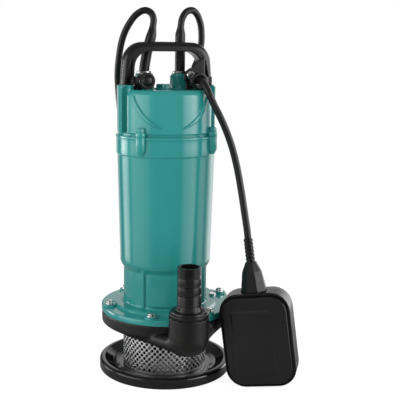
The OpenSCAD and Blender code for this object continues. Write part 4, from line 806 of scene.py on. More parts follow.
class SUMP_OT_cables(bpy.types.Operator):
    """Lay the mains cable with its coil, the float's lead and the float's tether"""

    bl_idname = "sump.cables"
    bl_label = "Cables"

    def execute(self, context):
        radius = context.scene.sump_size.cable_d / MM / 2
        coil, end = coil_path()
        tail = smooth_route(in_coil_frame(np.array(TAIL_LOCAL) + [0, 0, COIL_TOP_Z], end))
        drop = smooth_route(POWER_ROUTE)
        mains = np.vstack([drop, coil[1:], tail[1:]])
        lying = np.clip((np.arange(len(mains)) - len(drop) + 24) / 24, 0, 1)[:, None]
        sideways = (1 - lying) * np.array([0.15, 1.0, 0.0]) + lying * np.array([0.0, 0.0, 1.0])
        plug = self.plug(end)
        cable = build("mains_cable", [tube(mains, radius, 14, sideways)], "cable_rubber", "pump",
                      ("power_cable", "power_coil", "coil_tail"))

        lead = smooth_route(LEAD_ROUTE)
        turned_by = smooth_step(0.5, 0.75, np.linspace(0, 1, len(lead)))[:, None]
        sideways = (1 - turned_by) * np.array([0.0, 1.0, 0.0]) + turned_by * np.array([1.0, 0.0, 0.2])
        piece = build("switch_lead", [tube(lead, radius, 18, sideways)], "cable_rubber", "pump",
                      ("float_lead",))

        tether = smooth_route(TETHER_ROUTE)
        piece = build("switch_tether", [tube(tether, radius, 18, (1.0, 0.0, 0.3))], "cable_rubber", "float",
                      ("float_tether",))
        return {"FINISHED"}

    def plug(self, end):
        """Two-pin earthed plug: a stadium body with grip ribs, a tapered relief and two pins, lying on the coil"""
        half_w, half_h, length, relief = 18.0, PLUG_H / 2, 34.0, 18.0
        middle_x, lead_y, middle_z = 32, 12, COIL_TOP_Z + CABLE_R + half_h + 0.2
        s = np.concatenate([[0, 0.4, 1.2, 2.5], np.linspace(4, length - 3, 22), [length - 1.2, length - 0.3, length]])
        shrink = np.interp(s, [0, 0.4, 1.2, 2.5, length - 1.2, length - 0.3, length], [3.0, 1.6, 0.7, 0, 0, 0.5, 1.4])
        rib = 0.5 * np.clip(np.sin((s - 8) * 1.5), 0, 1) * (s > 8) * (s < 24)
        wide, high = half_w - shrink - rib, half_h - shrink - rib * 0.6
        section = rounded_rectangle(wide, high, np.minimum(high - 0.1, 12.5), 8)
        shells = [sweep(np.column_stack([s * 0, relief + s, s * 0]), section, (1, 0, 0))]
        cone = np.linspace(0, relief, 30)
        groove = 0.5 * (np.cos(cone * 2.1) > 0.3) * (cone > 3) * (cone < 15)
        shells.append(tube(np.column_stack([cone * 0, cone + 0.05, cone * 0]), 5.5 + 1.5 * cone / relief - groove, 24,
                           (1, 0, 0)))
        pin = np.array([length - 1, length + 0.5, length + 9, length + 16.5, length + 18.2, length + 19]) + relief
        for x in (-9.5, 9.5):
            shells.append(tube(np.column_stack([pin * 0 + x, pin, pin * 0]), [2.4, 2.4, 2.4, 2.4, 1.9, 0.6], 16,
                               (1, 0, 0)))
        lying = [(in_coil_frame(points * [1, -1, 1] + [middle_x, lead_y, middle_z], end), faces)
                 for points, faces in shells]
        return build("mains_plug_body", lying, "cable_rubber", "pump", ("mains_plug",))


class SUMP_OT_sleeves(bpy.types.Operator):
    """Make the rubber sleeves on the glands: even, then drawn in to the cable over their last fifth"""

    bl_idname = "sump.sleeves"
    bl_label = "Sleeves"

    def execute(self, context):
        size = context.scene.sump_size
        wide, narrow = size.sleeve_d / MM / 2, size.cable_d / MM / 2 + 0.3
        for name, points, node in (("left_cable_sleeve", LEFT_SLEEVE, "left_sleeve"),
                                   ("right_cable_sleeve", RIGHT_SLEEVE, "right_sleeve")):
            path = smooth_route(points, 10)
            u = np.linspace(0, 1, len(path))
            radius = wide + (narrow - wide) * smooth_step(0.76, 0.97, u)
            build(name, [tube(path, radius, 24, (0, 1, 0))], "cable_rubber", "pump", (node,))
        return {"FINISHED"}


# ---------- shells from a field of distances ----------

def union(a, b, width=0.01):
    """The nearer of two fields, with a fillet of about that width where they meet"""
    return -smooth_max(-a, -b, width)


def surface_net(field, low, high, step):
    """The closed surface where a field of distances is zero: one point in each cell that it crosses, at the mean
    of the crossings on the cell's edges, and one quad round each crossed edge. Two Newton steps, p - f·g/g²,
    then bring the points onto the surface."""
    axes = [np.arange(a, b + step, step) for a, b in zip(low, high)]
    values = field(*np.meshgrid(*axes, indexing="ij", sparse=True))
    cells = tuple(n - 1 for n in values.shape)
    total, count, quads = np.zeros((int(np.prod(cells)), 3)), np.zeros(int(np.prod(cells))), []
    for axis in range(3):
        before, after = np.swapaxes(values, 0, axis)[:-1], np.swapaxes(values, 0, axis)[1:]
        crossed = (before < 0) != (after < 0)
        place = np.argwhere(np.swapaxes(crossed, 0, axis))
        near, far = (np.swapaxes(v, 0, axis)[tuple(place.T)] for v in (before, after))
        point = place.astype(float)
        point[:, axis] += near / (near - far)
        ring = []
        for first, second in ((0, 0), (1, 0), (1, 1), (0, 1)):
            cell = place.copy()
            cell[:, (axis + 1) % 3] -= first
            cell[:, (axis + 2) % 3] -= second
            index = np.ravel_multi_index(cell.T, cells)
            np.add.at(total, index, point)
            np.add.at(count, index, 1)
            ring.append(index)
        quads.append(np.stack(ring, -1))
    used = np.flatnonzero(count)
    number = np.zeros(len(count), int)
    number[used] = np.arange(len(used))
    points = np.array(low) + step * total[used] / count[used, None]
    for _ in range(2):
        here = field(*points.T)
        slope = np.stack([field(*(points + nudge).T) - here for nudge in np.eye(3) * 0.02], -1) / 0.02
        size = np.maximum((slope ** 2).sum(1), 0.3)
        points -= np.clip(here / size, -0.6 * step, 0.6 * step)[:, None] * slope
    return points, [number[np.concatenate(quads)]]


def rounded(q, edge):
    """Distance to a form with rounded edges, from the distances q past the faces of its smaller core:
    |max(q, 0)| + min(max(q), 0) - edge"""
    most = q[0]
    for v in q[1:]:
        most = np.maximum(most, v)
    return np.sqrt(sum(np.maximum(v, 0) ** 2 for v in q)) + np.minimum(most, 0) - edge


def past(v, low, high, edge):
    """Distance of a place past the ends of a span that is shorter by edge at both ends"""
    return np.abs(v - (low + high) / 2) - (high - low) / 2 + edge


def rounded_box(x, y, z, low, high, edge=1.0):
    """Distance to a box with rounded edges"""
    return rounded([past(v, a, b, edge) for v, a, b in zip((x, y, z), low, high)], edge)


def rounded_rod(along, across, low, high, radius, edge=1.0):
    """Distance to a round rod, or to a flat bar, from the place along its axis and the distance from the axis"""
    return rounded([past(along, low, high, edge), across - radius + edge], edge)


def blob(x, y, z, start, end, start_r, end_r):
    """Distance to a rod with round ends of two radii: |p - start - t·way| less the radius at t, for the nearest t"""
    way = np.array(end, float) - start
    t = np.clip(sum((v - s) * w for v, s, w in zip((x, y, z), start, way)) / (way @ way), 0, 1)
    gap = np.sqrt(sum((v - s - t * w) ** 2 for v, s, w in zip((x, y, z), start, way)))
    return gap - start_r - (end_r - start_r) * t


def outline_distance(x, y, corners):
    """Distance to a flat outline: the nearest side, with its sign from how often a ray crosses the sides"""
    nearest, inside = np.inf, np.zeros(np.broadcast(x, y).shape, bool)
    for (ax, ay), (bx, by) in zip(corners, corners[1:] + corners[:1]):
        wx, wy = bx - ax, by - ay
        t = np.clip(((x - ax) * wx + (y - ay) * wy) / (wx * wx + wy * wy), 0, 1)
        nearest = np.minimum(nearest, np.hypot(x - ax - t * wx, y - ay - t * wy))
        if wy:
            inside ^= ((y >= ay) != (y >= by)) & (x < ax + (y - ay) * wx / wy)
    return np.where(inside, -nearest, nearest)


# ---------- foot and pump casing ----------

def casing_field(x, y, z):
    """The cast casing: a flared disc with an ear, the elbow, and an arm on each side that swells into it, less the
    scroll, the throat and the bores"""
    across = np.hypot(x, y)
    disc = smooth_max(across - CASING_R, 0.5073 * (across - 62) - 0.8617 * (z - 51.5), 3.0)
    disc = smooth_max(disc, 0.148 * (across - 52) - 0.989 * (z - CASING_Z), 0.6)
    ear = smooth_max(ear_distance(x, y, CASING_R), np.abs(z - 66.8) - 6.7, 1.6)
    low_arm = blob(x, y, z, (-11.5, ELBOW_Y, 57.5), (-47.3, -36.9, 58.5), 9, 7.5)
    high_arm = blob(x, y, z, (2, ELBOW_Y, 66), (52, -30, 62), 17.5, 11)
    body = union(union(union(disc, ear, 1.5), low_arm, 1.5), high_arm, 5.0)
    body = smooth_max(body, z - CASING_TOP_Z, 0.5)
    from_elbow = np.hypot(x, y - ELBOW_Y)
    bulb = smooth_max(rounded_rod(z, from_elbow, 46, 126, ELBOW_R, 20), z - ELBOW_TOP_Z, 0.8)
    body = union(body, bulb, 0.05 + 6 * (1 - smooth_step(62.0, 72.5, z)))
    scroll = union(rounded_rod(z, across, 54, 68.5, 59, 0.5), rounded_rod(z, across, 68, 90, 63, 0.5))
    throat = blob(x, y, z, (0, ELBOW_Y, 61.5), (0, -50, 61.5), 11, 7.5)
    bore = union(rounded_rod(z, from_elbow, 60, 120, 11, 0.5), throat)
    inside = union(np.where(across > 66, 50.0, scroll), bore)
    inside = union(inside, rounded_rod(z, across, 30, 60, 20, 0.5))
    return smooth_max(body, -inside, 0.4)


def ear_distance(x, y, disc_r, ear_r=9.5):
    """Distance to a round outline with one ear, whose sides are the lines that touch both circles"""
    angle, reach = math.radians(EAR_PLACE[0]), EAR_PLACE[1]
    u = x * math.cos(angle) + y * math.sin(angle)
    v = np.abs(y * math.cos(angle) - x * math.sin(angle))
    lean = math.acos((disc_r - ear_r) / reach)
    start, end = disc_r * math.cos(lean), reach + ear_r * math.cos(lean)
    web = np.maximum(math.cos(lean) * u + math.sin(lean) * v - disc_r, past(u, start, end, 0))
    return union(union(np.hypot(x, y) - disc_r, web, 0.5), np.hypot(u - reach, v) - ear_r, 0.5)


class SUMP_OT_foot(bpy.types.Operator):
    """Make the base plate, the strainer with its holes, the casing, the hose tail and its collar"""

    bl_idname = "sump.foot"
    bl_label = "Foot and casing"

    def execute(self, context):
        size = context.scene.sump_size
        self.base()
        self.strainer(size.hole_d / MM / 2, size.holes, size.hole_rows)
        build("casing", [surface_net(casing_field, (-81, -118, 42), (91, 80, 93), 1.2)], "cast_black", "pump",
              ("pump_casing",), 42)
        self.hose_tail()
        return {"FINISHED"}

    def base(self):
        """A dish with a rounded rim and a sloping floor, four bolt bosses and the strainer's seat"""
        profile = [(0, 0, 0), (76, 0, 0), (78.7, 0.1, 0.5), (BASE_R, 1.2, 1.2), (BASE_R, 12.5, 5), (73.2, 12.7, 3.5),
                   (70.5, 10.9, 2.5), (63, 6.6, 5), (56, BASE_FLOOR_Z, 2), (0, BASE_FLOOR_Z, 0)]
        shell = lathe(refined(filleted(profile, 6), 3), 200)
        boss = [(0, 4.8), (7.5, 4.8), (7.5, 9.1), (7.1, 9.5), (0, 9.5)]
        bosses = [lathe(boss, 32, at_angle(38, angle)) for angle in (225, 135, 315, 45)]
        ring = lathe([(46.4, 4.8), (49.4, 4.8), (49.4, 7.7), (49.1, 8), (46.7, 8), (46.4, 7.7)], 120, closed=True)
        build("base", [shell, ring] + bosses, "gloss_black", "pump", ("base_plate",))

    def strainer(self, hole_r, holes, rows):
        """Perforated sheet in diamond cells: each hole's circle is joined to the diamond round it. The sheet's inner
        side and the holes' walls carry painted shade: a dark copy of the same steel."""
        low, high, margin, rim = BASE_FLOOR_Z, CASING_Z, 1.6, 0.8
        half_w = FULL_TURN * STRAINER_R / holes / 2
        half_h = (high - low - 2 * margin) / (rows + 1)
        side = np.linspace(0, 1, 5)[:-1]
        corner = np.array([[1, 0], [0, 1], [-1, 0], [0, -1], [1, 0]], float)
        edge = np.concatenate([a + (b - a) * side[:, None] for a, b in zip(corner[:-1], corner[1:])])
        around = np.linspace(0, FULL_TURN, len(edge), endpoint=False)
        circle = hole_r * np.stack([np.cos(around), np.sin(around)], -1)
        diamond = edge * [half_w, half_h]
        between = diamond * 0.35 + circle * 0.65
        between = np.where(np.linalg.norm(between, axis=-1, keepdims=True) > hole_r, between, circle * 1.02)
        cell = np.stack([diamond, between, circle])
        pieces = []
        for row in range(rows):
            z = low + margin + half_h * (row + 1)
            pieces += [grid(self.bent(cell, (2 * i + row % 2) * half_w, z)) for i in range(holes)]
        # The notches between the outermost cells, and a plain band beyond them
        fan = np.column_stack([np.concatenate([side, 1 + side, [2]]), np.concatenate([side, 1 - side, [0]])])
        for z, way, row in ((low, 1, 0), (high, -1, rows - 1)):
            tip = z + way * margin
            starts = (2 * np.arange(holes) + row % 2) * half_w
            for start in starts:
                notch = self.bent(fan * [half_w, way * half_h], start, tip)
                pieces.append((notch, [np.arange(len(fan))[None]]))
            pieces.append(polar_shell([(STRAINER_R, z), (STRAINER_R, z + way * rim), (STRAINER_R, tip)],
                                      starts / STRAINER_R))
        sheet = build("strainer_sheet", pieces, "strainer_steel", "pump", ("strainer",), 50)
        # Painted shade: the solidified sheet's inner side and the walls of its holes take the dark copy of the steel
        sheet.data.materials.append(bpy.data.materials["painted_shade_steel"])
        thick = sheet.modifiers.new("sheet_thickness", "SOLIDIFY")
        thick.thickness = 1.0 * MM
        thick.offset = -1.0
        thick.material_offset = thick.material_offset_rim = 1

    def bent(self, flat, x, z):
        """Flat points bent round the strainer: angle = x / radius"""
        turn = (flat[..., 0] + x) / STRAINER_R
        return np.stack([STRAINER_R * np.cos(turn), STRAINER_R * np.sin(turn), flat[..., 1] + z], -1)

    def hose_tail(self):
        """Hose tail with three plain lands between grooves and fine threads above, in a collar on the elbow"""
        r, bore, foot_r, seat_r = 13.5, 10.5, 18.0, 15.7
        top, ridge = TAIL_TOP_Z, TAIL_TOP_Z - 10
        wall = [(bore, ELBOW_TOP_Z, 0), (foot_r, ELBOW_TOP_Z, 0), (foot_r, ELBOW_TOP_Z + 3, 0.4),
                (r + 2, ELBOW_TOP_Z + 3, 0.4), (r + 2, COLLAR_TOP_Z + 1.3, 0.8), (r, COLLAR_TOP_Z + 5, 1)]
        for z in (ridge - 20, ridge - 10, ridge):
            wall += [(r, z - 1.8, 0.4), (r - 0.9, z - 1.2, 0.25), (r - 0.9, z - 0.25, 0.2), (r, z, 0.2)]
        for i in range(4):
            z = ridge + 0.9 + i * 2.3
            wall += [(r - 1.0, z, 0.2), (r, z + 0.7, 0.3), (r, z + 1.4, 0.3), (r - 1.0, z + 2.0, 0.2)]
        wall += [(r - 0.9, top, 0.3), (bore + 0.3, top, 0.2), (bore, top - 0.4, 0)]
        build("hose_connector", [lathe(filleted(wall, 3), 112, (0, ELBOW_Y), closed=True)], "moulded_black",
              "pump", ("hose_tail",))
        ring = [(foot_r + 0.2, ELBOW_TOP_Z, 0), (22, ELBOW_TOP_Z, 0.8), (22, COLLAR_TOP_Z - 3.0, 0.8),
                (20.6, COLLAR_TOP_Z - 2.3, 0.5), (20.2, COLLAR_TOP_Z - 1.4, 0.4), (20.2, COLLAR_TOP_Z, 0.7),
                (seat_r, COLLAR_TOP_Z, 0.3), (seat_r, ELBOW_TOP_Z + 3.2, 0), (foot_r + 0.2, ELBOW_TOP_Z + 3.2, 0)]
        build("hose_ring", [lathe(filleted(ring, 3), 128, (0, ELBOW_Y), closed=True)], "moulded_black", "pump",
              ("hose_collar",))


# ---------- housing and cover ----------

def off(angle, middle):
    """Angle from a middle, in degrees between -180 and 180"""
    return (angle - middle + 180) % 360 - 180


def plateau(value, half, soft):
    """1 within half of the middle, 0 outside, soft at the edge"""
    return 1 - smooth_step(half - soft / 2, half + soft / 2, np.abs(value))


def flange_outline(angle, radius, ear_r=9.5, notch_r=23.3):
    """The flange's edge at an angle: its circle, the ear's sides and end, and the notch round the elbow"""
    ear_at, reach = EAR_PLACE
    lean = math.acos((radius - ear_r) / reach)
    turn = np.abs(np.radians(off(angle, ear_at)))
    side = np.where(turn < lean, radius / np.cos(turn - lean), radius)
    touch = math.atan2(ear_r * math.sin(lean), reach + ear_r * math.cos(lean))
    end = reach * np.cos(turn) + np.sqrt(np.maximum(ear_r ** 2 - (reach * np.sin(turn)) ** 2, 0))
    edge = np.where(turn < touch, end, side)
    aside = np.abs(off(angle, -90))
    turn = np.radians(np.minimum(aside, 14.6))
    notch = -ELBOW_Y * np.cos(turn) - np.sqrt(notch_r ** 2 - (ELBOW_Y * np.sin(turn)) ** 2)
    return np.where(aside < 14.5, union(edge, notch, 0.6), edge)


def lug_shells(half_w, rows):
    """The four lugs of the cover bolts: a round end about the bolt and a web to the wall"""
    lean = math.degrees(math.acos(-math.sqrt(1 - (half_w / LUG_END_R) ** 2)))
    outline = np.vstack([[[49, -half_w]], arc(LUG_R, 0, LUG_END_R, -lean, lean, 16), [[49, half_w]]])
    return [placed(loft(outline, rows), 0, 0, 0, turn) for turn in LUG_ANGLES]


class SUMP_OT_shells(bpy.types.Operator):
    """Make the painted motor housing and the top cover"""

    bl_idname = "sump.shells"
    bl_label = "Housing and cover"

    def execute(self, context):
        self.housing()
        self.cover()
        return {"FINISHED"}

    def housing(self):
        """Flange, narrow oil chamber with its panel and ribs, tapered motor part and band, and the bores inside"""
        angle = np.linspace(0, 360, 480, endpoint=False)
        edge, step_h = flange_outline(angle, 76.75), OIL_Z - FLANGE_TOP_Z
        rows = [(edge, FLANGE_Z), (edge, 79.6), (edge - 0.25, 80.3), (edge - 0.8, 80.7), (edge - 1.5, FLANGE_TOP_Z)]
        for t in np.linspace(0, 1, 30)[1:]:
            radius = (edge - 1.5) * (1 - t) + 55 * t
            rows.append((radius, FLANGE_TOP_Z + step_h * (1 - smooth_step(60.8, 62.6, radius))))
        outside = filleted([
            (55, OIL_Z, 0), (50, OIL_Z, 5), (50, 126.6, 4), (53.4, 132.6, 3), (54.1, 135.5, 2), (57.3, 262.2, 1),
            (58.5, 263.8, 0.8), (58.5, 282.1, 0.4), (59.2, 282.7, 0.4), (59.2, 284.6, 0.4), (58.5, PARTING_Z, 0)], 5)
        outside = refined(outside, 5, ((119, 134, 0.7), (84, 90, 0.8)))
        panel = 1.7 * plateau(off(angle, PANEL_ANGLE), 39, 0.9)
        ribs = []
        for rib in RIB_ANGLES:
            aside = np.abs(off(angle, rib))
            turn = np.radians(np.minimum(aside, 3.4))
            bump = 49.4 * np.cos(turn) + np.sqrt(3.0 ** 2 - (49.4 * np.sin(turn)) ** 2)
            ribs.append(np.where(aside < 3.4, bump, 0))
        for radius, z in outside[1:]:
            wall = radius + panel * smooth_step(OIL_Z + 2, OIL_Z + 5, z) * (1 - smooth_step(122.6, 124.6, z))
            if OIL_Z + 2 < z < 131:
                for bump in ribs:
                    wall = smooth_max(wall, bump, 0.9)
            rows.append((wall, z))
        # From the top down: the cover's seat, the motor's bore, the bearing, the lip seal and the oil chamber
        inside = [(53, PARTING_Z), (53, BAND_Z), (49, BAND_Z), (49, BODY_Z), (20, BODY_Z), (20, 114.3), (13, 114.3),
                  (13, 112.3), (14, 112.3), (14, 105.3), (43.5, 105.3), (43.5, FLANGE_Z)]
        shells = [polar_shell(rows + inside, np.radians(angle), close_rows=True)]
        boss = filleted([(7.3, 80.2, 0), (8.3, 80.75, 0.6), (7.5, 81.4, 0.6), (7.5, BOSS_TOP_Z, 0.6),
                         (0, BOSS_TOP_Z, 0)], 3)
        shells += [lathe(boss, 40, at_angle(reach, at)) for at, reach in BOLT_PLACES]
        shells += lug_shells(4.5, [(265.3, 2.6), (266.2, 2.2), (270.0, 0.3), (271.2, 0), (284.7, 0), (285.1, 0.15),
                                   (PARTING_Z, 0.5)])
        build("housing", shells, "teal_enamel", "pump", ("motor_housing",), 32)

    def cover(self):
        """Cover with a raised side wall on each side, upright channels, panels and their crescents. The wall's lip is
        thin, and it is thinner still beside the handle's feet."""
        middles, half = np.array([-37.3, 17.3, 142.7, 197.3]), 6.0
        edges = np.concatenate([middles - half, middles + half])
        fine = (edges[:, None] + np.linspace(-0.6, 0.6, 9)).ravel() % 360
        angle = np.unique(np.round(np.concatenate([np.arange(0, 360, 0.75), fine]), 3))
        turn = np.radians(angle)
        wing = np.maximum(plateau(off(angle, -10), 33.4, 0.5), plateau(off(angle, 170), 33.4, 0.5))
        channel = sum(plateau(off(angle, middle), half, 0.5) for middle in middles)
        inner_r, spigot_r, foot_z, lip_z = 47.5, 52.9, 268.3, 289.4
        rows = [(0, 331.3), (inner_r, 331.3), (inner_r, foot_z), (spigot_r, foot_z), (spigot_r, PARTING_Z),
                (56, PARTING_Z), (56, 288.0), (56.3, 288.5), (57.2, 289.0)]
        beside_handle = 1 - smooth_step(9.8, 10.5, np.abs(56 * np.sin(turn)))
        top = COVER_TOP_Z + SHOULDER_H * wing
        cut = 7.0 * channel
        soft = 7 - (4 + 1.5 * beside_handle) * wing
        for t in np.linspace(0, 1, 60):
            z = lip_z + (top - soft - lip_z) * t
            rows.append((COVER_R - cut * smooth_step(289.3, 290.6, z) + self.crescent(turn, z), z))
        for k in np.radians(np.linspace(0, 90, 10)[1:]):
            lip = COVER_R - cut - soft * (1 - np.cos(k)) * (1 - 0.35 * channel)
            rows.append((lip, top - soft + soft * np.sin(k)))
        for inset, share in ((0.05, 0.99), (0.15, 0.92), (0.3, 0.75), (0.35, 0.25), (0.5, 0.06), (0.9, 0)):
            rows.append((lip - inset, COVER_TOP_Z + (top - COVER_TOP_Z) * share))
        rows += [(38.0, COVER_TOP_Z), (20.0, COVER_TOP_Z), (0, COVER_TOP_Z)]
        shells = [polar_shell(rows, turn)]
        shells += lug_shells(5.0, [(PARTING_Z, 0.5), (285.5, 0.15), (286, 0), (290.5, 0), (291.1, 0.3),
                                   (LUG_TOP_Z, 0.9)])
        boss = filleted([(13.2, 337.2, 0), (12.2, 337.5, 0.8), (12, 338.6, 0.8), (12, GLAND_Z, 0.5),
                         (0, GLAND_Z, 0)], 3)
        shells += [lathe(boss, 56, (x, GLAND_Y)) for x in (-GLAND_X, GLAND_X)]
        build("cover", shells, "teal_enamel", "pump", ("top_cover",), 32)

    def crescent(self, turn, z):
        """Height of the crescents on the front and back panels, mirrored about each panel's middle: inside a circle
        of radius 40 and outside one of 58.2"""
        lift = 0
        for middle in np.radians([FRONT_ANGLE, FRONT_ANGLE + 180]):
            across = -np.abs(COVER_R * np.sin(turn - middle))
            inner = 58.2 - np.hypot(across - 15.2, z - 347.26)
            outer = np.hypot(across + 3.39, z - 334.49) - 40
            shape = 1 - smooth_step(-0.5, 0.3, np.maximum(inner, outer))
            lift = lift + 2.2 * shape * (np.cos(turn - middle) > 0.3)
        return lift


# ---------- handle and small parts ----------

def handle_field(x, y, z):
    """The moulded handle: a bow with hollow legs, two rings in front of it, their webs, the clamp's arm and the
    screw tabs. Heights count from the cover's top."""
    z = z - COVER_TOP_Z
    side = np.abs(x)
    leaning = side + LEG_LEAN * z
    bow = rounded_rod(z, leaning, -30, BOW_H - 0.0006 * x * x, BOW_HALF_W, 20)
    gap = rounded_rod(z, leaning, -30, GAP_H, GAP_HALF_W, 16)
    bow = smooth_max(smooth_max(bow, np.abs(y) - BOW_HALF_D, 9.0), -gap, 1.0)
    bow = smooth_max(bow, -z, 0.6)
    # A wedge-shaped hollow in each leg, on both sides of a web 8 mm thick
    pocket = outline_distance(leaning, z, [(45.6, 33), (46.6, 33), (52.5, 3), (44.6, 3)])
    bow = smooth_max(bow, -smooth_max(pocket, 4.0 - np.abs(y), 0.5), 0.7)
    ring_z = RING_Z - COVER_TOP_Z
    left, right = np.hypot(x + RING_X, z - ring_z), np.hypot(x - RING_X, z - ring_z)
    rings = union(rounded_rod(y, left, -30, RING_BACK_Y, RING_R, 0.7),
                  rounded_rod(y, right, -30, RING_BACK_Y - 8, RING_R, 0.7))
    webs = union(rounded_box(x, y, z, (-46, -20, 5.5), (-34, -8, 14.5), 0.6),
                 rounded_box(x, y, z, (38, -29, 5.5), (46, -8, 14.5), 0.6))
    # The clamp's arm: a flat strap from the leg to a disc, with a foot and a hole through the disc
    strap = [(43, 36.1), (38, 34.6), (33, 31.6), (27.5, 25.1), (24, 23.1), (31, 15.1), (43, 17.1)]
    arm = union(outline_distance(x, z, strap), np.hypot(x - 27.7, z - 14.1) - 9.6, 1.5)
    arm = union(arm, np.maximum(np.abs(x - 23.7) - 3.5, np.abs(z - 4) - 4), 1.0)
    arm = np.maximum(smooth_max(arm, np.abs(y + 10.5) - 2.0, 0.7), 5 - np.hypot(x - 34, z - 10.5))
    tabs = rounded_box(side, y, z, (31, -9.5, 0), (45, 3, 4), 0.6)
    solid = union(union(bow, union(rings, webs, 1.6), 1.6), union(arm, tabs, 0.5), 0.6)
    return smooth_max(solid, -np.where(y < -11, np.minimum(left, right) - RING_BORE_R, 9.0), 0.5)


class SUMP_OT_fittings(bpy.types.Operator):
    """Make the handle, glands, filler plug, bolts and screws"""

    bl_idname = "sump.fittings"
    bl_label = "Handle and fittings"

    def execute(self, context):
        build("carrying_handle", [surface_net(handle_field, (-59, -32, 336.4), (59, 11, 393), 0.8)],
              "moulded_black", "pump", ("handle",), 42)
        self.bolts()
        self.glands()
        return {"FINISHED"}

    def bolts(self):
        """Flange bolts with washers, cover bolts, and the nut on the clamp's eye"""
        washer = lathe(filleted([(0, 0, 0), (5, 0, 0.15), (5, 0.8, 0.25), (0, 0.8, 0)], 2), 32)
        shells = []
        for k, (at, reach) in enumerate(BOLT_PLACES):
            x, y = at_angle(reach, at)
            shells += [placed(washer, x, y, BOSS_TOP_Z), placed(hex_head(9, 3.2), x, y, BOSS_TOP_Z + 0.8, 17 * k + 5),
                       rod(BOLT_R, 66, 84, x, y)]
        build("flange_screws", shells, "bright_steel", "pump", ("flange_bolts",))
        nut = along_y(hex_head(10.5, 6.0, 0.6), (24.2, -12.3, 353.6))
        build("clamp_nut", [nut], "bright_steel", "pump")
        shells = []
        for k, at in enumerate(LUG_ANGLES):
            x, y = at_angle(LUG_R, at)
            shells += [placed(hex_head(9.5, 4.5), x, y, LUG_TOP_Z, 11 * k), rod(BOLT_R, 273.5, 291.5, x, y)]
        build("cover_screws", shells, "teal_enamel", "pump", ("cover_bolts",))

    def glands(self):
        """Gland nuts with round collars, their washers, and the filler plug"""
        nuts, washers, bore = [], [], 6.4
        for x, turn in ((-GLAND_X, 8), (GLAND_X, -6)):
            nut = hex_head(24, 12, 1.2, bore)
            collar = lathe(filleted([(bore, 9, 0), (10.3, 9, 0), (10.3, 13.6, 0.7), (bore, 13.6, 0.4)], 3), 64,
                           closed=True)
            nuts += [placed(nut, x, GLAND_Y, GLAND_Z, turn), placed(collar, x, GLAND_Y, GLAND_Z)]
            ring = filleted([(bore, 0, 0), (9, 0, 0.3), (9, 2.9, 0.5), (bore, 2.9, 0.3), (bore, 0.5, 0)], 3)
            washers.append(placed(lathe(ring, 64, closed=True), x, GLAND_Y, GLAND_Z + 13.6))
        build("gland_caps", nuts, "teal_enamel", "pump", ("gland_nuts",))
        build("gland_rings", washers, "turned_steel", "pump", ("gland_washers",))
        flange = lathe(filleted([(0, 0, 0), (10.5, 0, 0.2), (10.5, 1.5, 0.6), (0, 1.5, 0)], 3), 48)
        plug = [placed(flange, PLUG_X, 0, COVER_TOP_Z), placed(hex_head(18, 6, 1.0), PLUG_X, 0, COVER_TOP_Z, 12),
                rod(4.8, 331.6, 338, PLUG_X, 0, 24)]
        build("filler_cap", plug, "teal_enamel", "pump", ("filler_plug",))


# ---------- float ----------

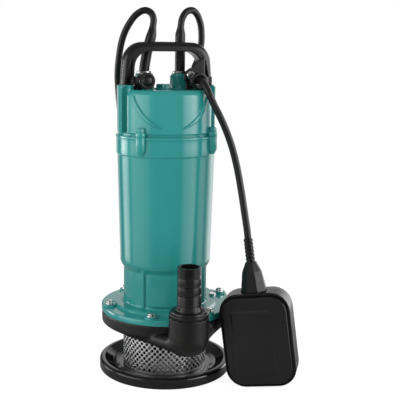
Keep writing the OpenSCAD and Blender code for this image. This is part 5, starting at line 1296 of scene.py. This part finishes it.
class SUMP_OT_float(bpy.types.Operator):
    """Make the float's two shells, its seam, its neck and the ribbed relief on the cable"""

    bl_idname = "sump.float"
    bl_label = "Float"

    def execute(self, context):
        build("float_face", [self.shell(-3.0, -18.2, True)], "float_black", "float",
              ("float_front_shell",), 30)
        build("float_back", [self.shell(1.0, 19.0, False)], "float_black", "float",
              ("float_back_shell",), 30)
        seam = self.rows([(-3.2, 3.2), (-3.2, 0.12), (1.2, 0.12), (1.2, 3.2)])
        build("float_seam", [self.standing(seam)], "float_black", "float", ("float_seal",))
        self.neck()
        return {"FINISHED"}

    def upright(self, flat, x, depth, z):
        """A flat outline as upright points of the float's frame, about a place on its face"""
        return np.column_stack([flat[:, 0] + x, np.full(len(flat), depth), flat[:, 1] + z])

    def rows(self, steps):
        """Outlines of the float, each at a depth and drawn in from its edge"""
        return [self.upright(rounded_rectangle(FLOAT_HALF_W - inset, FLOAT_HALF_H - inset,
                                               max(FLOAT_CORNER_R - inset, 0.3), 16), 0, depth, FLOAT_HALF_H)
                for depth, inset in steps]

    def standing(self, rows):
        """The closed shell through rows, where the float stands"""
        points, faces = capped(rows)
        return float_pose(points), faces

    def shell(self, seam, face, front):
        """One half of the float: flat seam side, straight wall and a rounded face. A rounded edge of radius r has
        depths face + r·(sin a - 1) and insets r·(1 - cos a). The front half has a face plate inside a groove, and a
        sunk panel on the plate."""
        way = math.copysign(1, face)
        quarter = np.radians(np.linspace(0, 90, 10))

        def edge(depth, inset, r):
            return [(depth + way * r * (np.sin(a) - 1), inset + r * (1 - np.cos(a))) for a in quarter]

        steps = [(seam, 4.0), (seam, 0.2), (seam + way * 0.2, 0)]
        if not front:
            return self.standing(self.rows(steps + edge(face, 0, 6.0)))
        rim, plate = -14.8, 3.9
        groove = [(0.1, 1.4), (0.3, 1.6), (2.6, 1.7), (2.8, 1.9), (2.8, 3.6), (2.6, 3.8)]
        rows = self.rows(steps + edge(rim, 0, 1.2) + [(rim + deep, inset) for deep, inset in groove]
                         + edge(face, plate, 1.3))
        for grow, deep in ((2.5, 0), (0.6, 0.02), (0.3, 0.15), (-0.2, 0.4), (-0.6, 0.5)):
            panel = rounded_rectangle(22.0 + grow, 38.0 + grow, 3.0 + max(grow, 0), 16)
            rows.append(self.upright(panel, -4.0, face - deep, 52.0))
        return self.standing(rows)

    def neck(self):
        """Tapered neck, a rectangle with wide chamfers, and the ribbed relief that the cable leaves through"""
        rows = []
        for z, half_x, half_y, chamfer in ((0, 14.5, 12.5, 8), (0.6, 14.6, 12.6, 8), (3, 13.9, 12, 8),
                                           (22.5, 10.9, 9.6, 6.5), (23.6, 10.4, 9.3, 6.3), (33.5, 6.0, 5.9, 3.6),
                                           (34, 5.6, 5.6, 3.3)):
            rows.append(at_height(rounded_rectangle(half_x, half_y, chamfer, 1), z))
        profile, count, low, high = [(0, 33, 0), (5.4, 33, 0)], 6, 35, 61
        pitch = (high - low) / count
        for z in low + pitch * np.arange(count):
            profile += [(4.3, z + 0.1, 0.3), (5.2, z + 0.9, 0.5), (5.2, z + pitch - 1.0, 0.5),
                        (4.3, z + pitch - 0.2, 0.3)]
        profile += [(0, high - 0.2, 0)]
        shells = [(float_pose(points + [0, 0, 2 * FLOAT_HALF_H]), faces)
                  for points, faces in (capped(rows), lathe(filleted(profile, 3), 40))]
        build("float_collar", shells, "cable_rubber", "float", ("float_neck",))


class SUMP_PT_panel(bpy.types.Panel):
    """Lists the operators and the settings that they read"""

    bl_idname = "SUMP_PT_panel"
    bl_label = "Sump Pump"
    bl_space_type = "VIEW_3D"
    bl_region_type = "UI"
    bl_category = "Sump Pump"

    def draw(self, context):
        layout = self.layout
        for name in ("sump_finish", "sump_size", "sump_stage"):
            settings = getattr(context.scene, name)
            column = layout.column(align=True)
            for key in settings.__annotations__:
                column.prop(settings, key)
        for operator in OPERATORS:
            layout.operator(operator.bl_idname)


SETTINGS = {"sump_finish": PumpFinishSettings, "sump_size": PumpSizeSettings, "sump_stage": PumpStageSettings}
OPERATORS = (SUMP_OT_stage, SUMP_OT_finishes, SUMP_OT_cables, SUMP_OT_sleeves, SUMP_OT_foot, SUMP_OT_shells,
             SUMP_OT_fittings, SUMP_OT_float)


def register():
    """Register the classes and hang the settings on the scene"""
    for name, settings in SETTINGS.items():
        bpy.utils.register_class(settings)
        setattr(bpy.types.Scene, name, PointerProperty(type=settings))
    for cls in (*OPERATORS, SUMP_PT_panel):
        bpy.utils.register_class(cls)


def unregister():
    """Take the settings and the classes away again"""
    for cls in (SUMP_PT_panel, *reversed(OPERATORS)):
        bpy.utils.unregister_class(cls)
    for name, settings in SETTINGS.items():
        delattr(bpy.types.Scene, name)
        bpy.utils.unregister_class(settings)


def main():
    """Register the add-on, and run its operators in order"""
    register()
    bpy.ops.sump.stage()
    bpy.ops.sump.finishes()
    bpy.ops.sump.cables()
    bpy.ops.sump.sleeves()
    bpy.ops.sump.foot()
    bpy.ops.sump.shells()
    bpy.ops.sump.fittings()
    bpy.ops.sump.float()


if __name__ == "__main__":
    main()
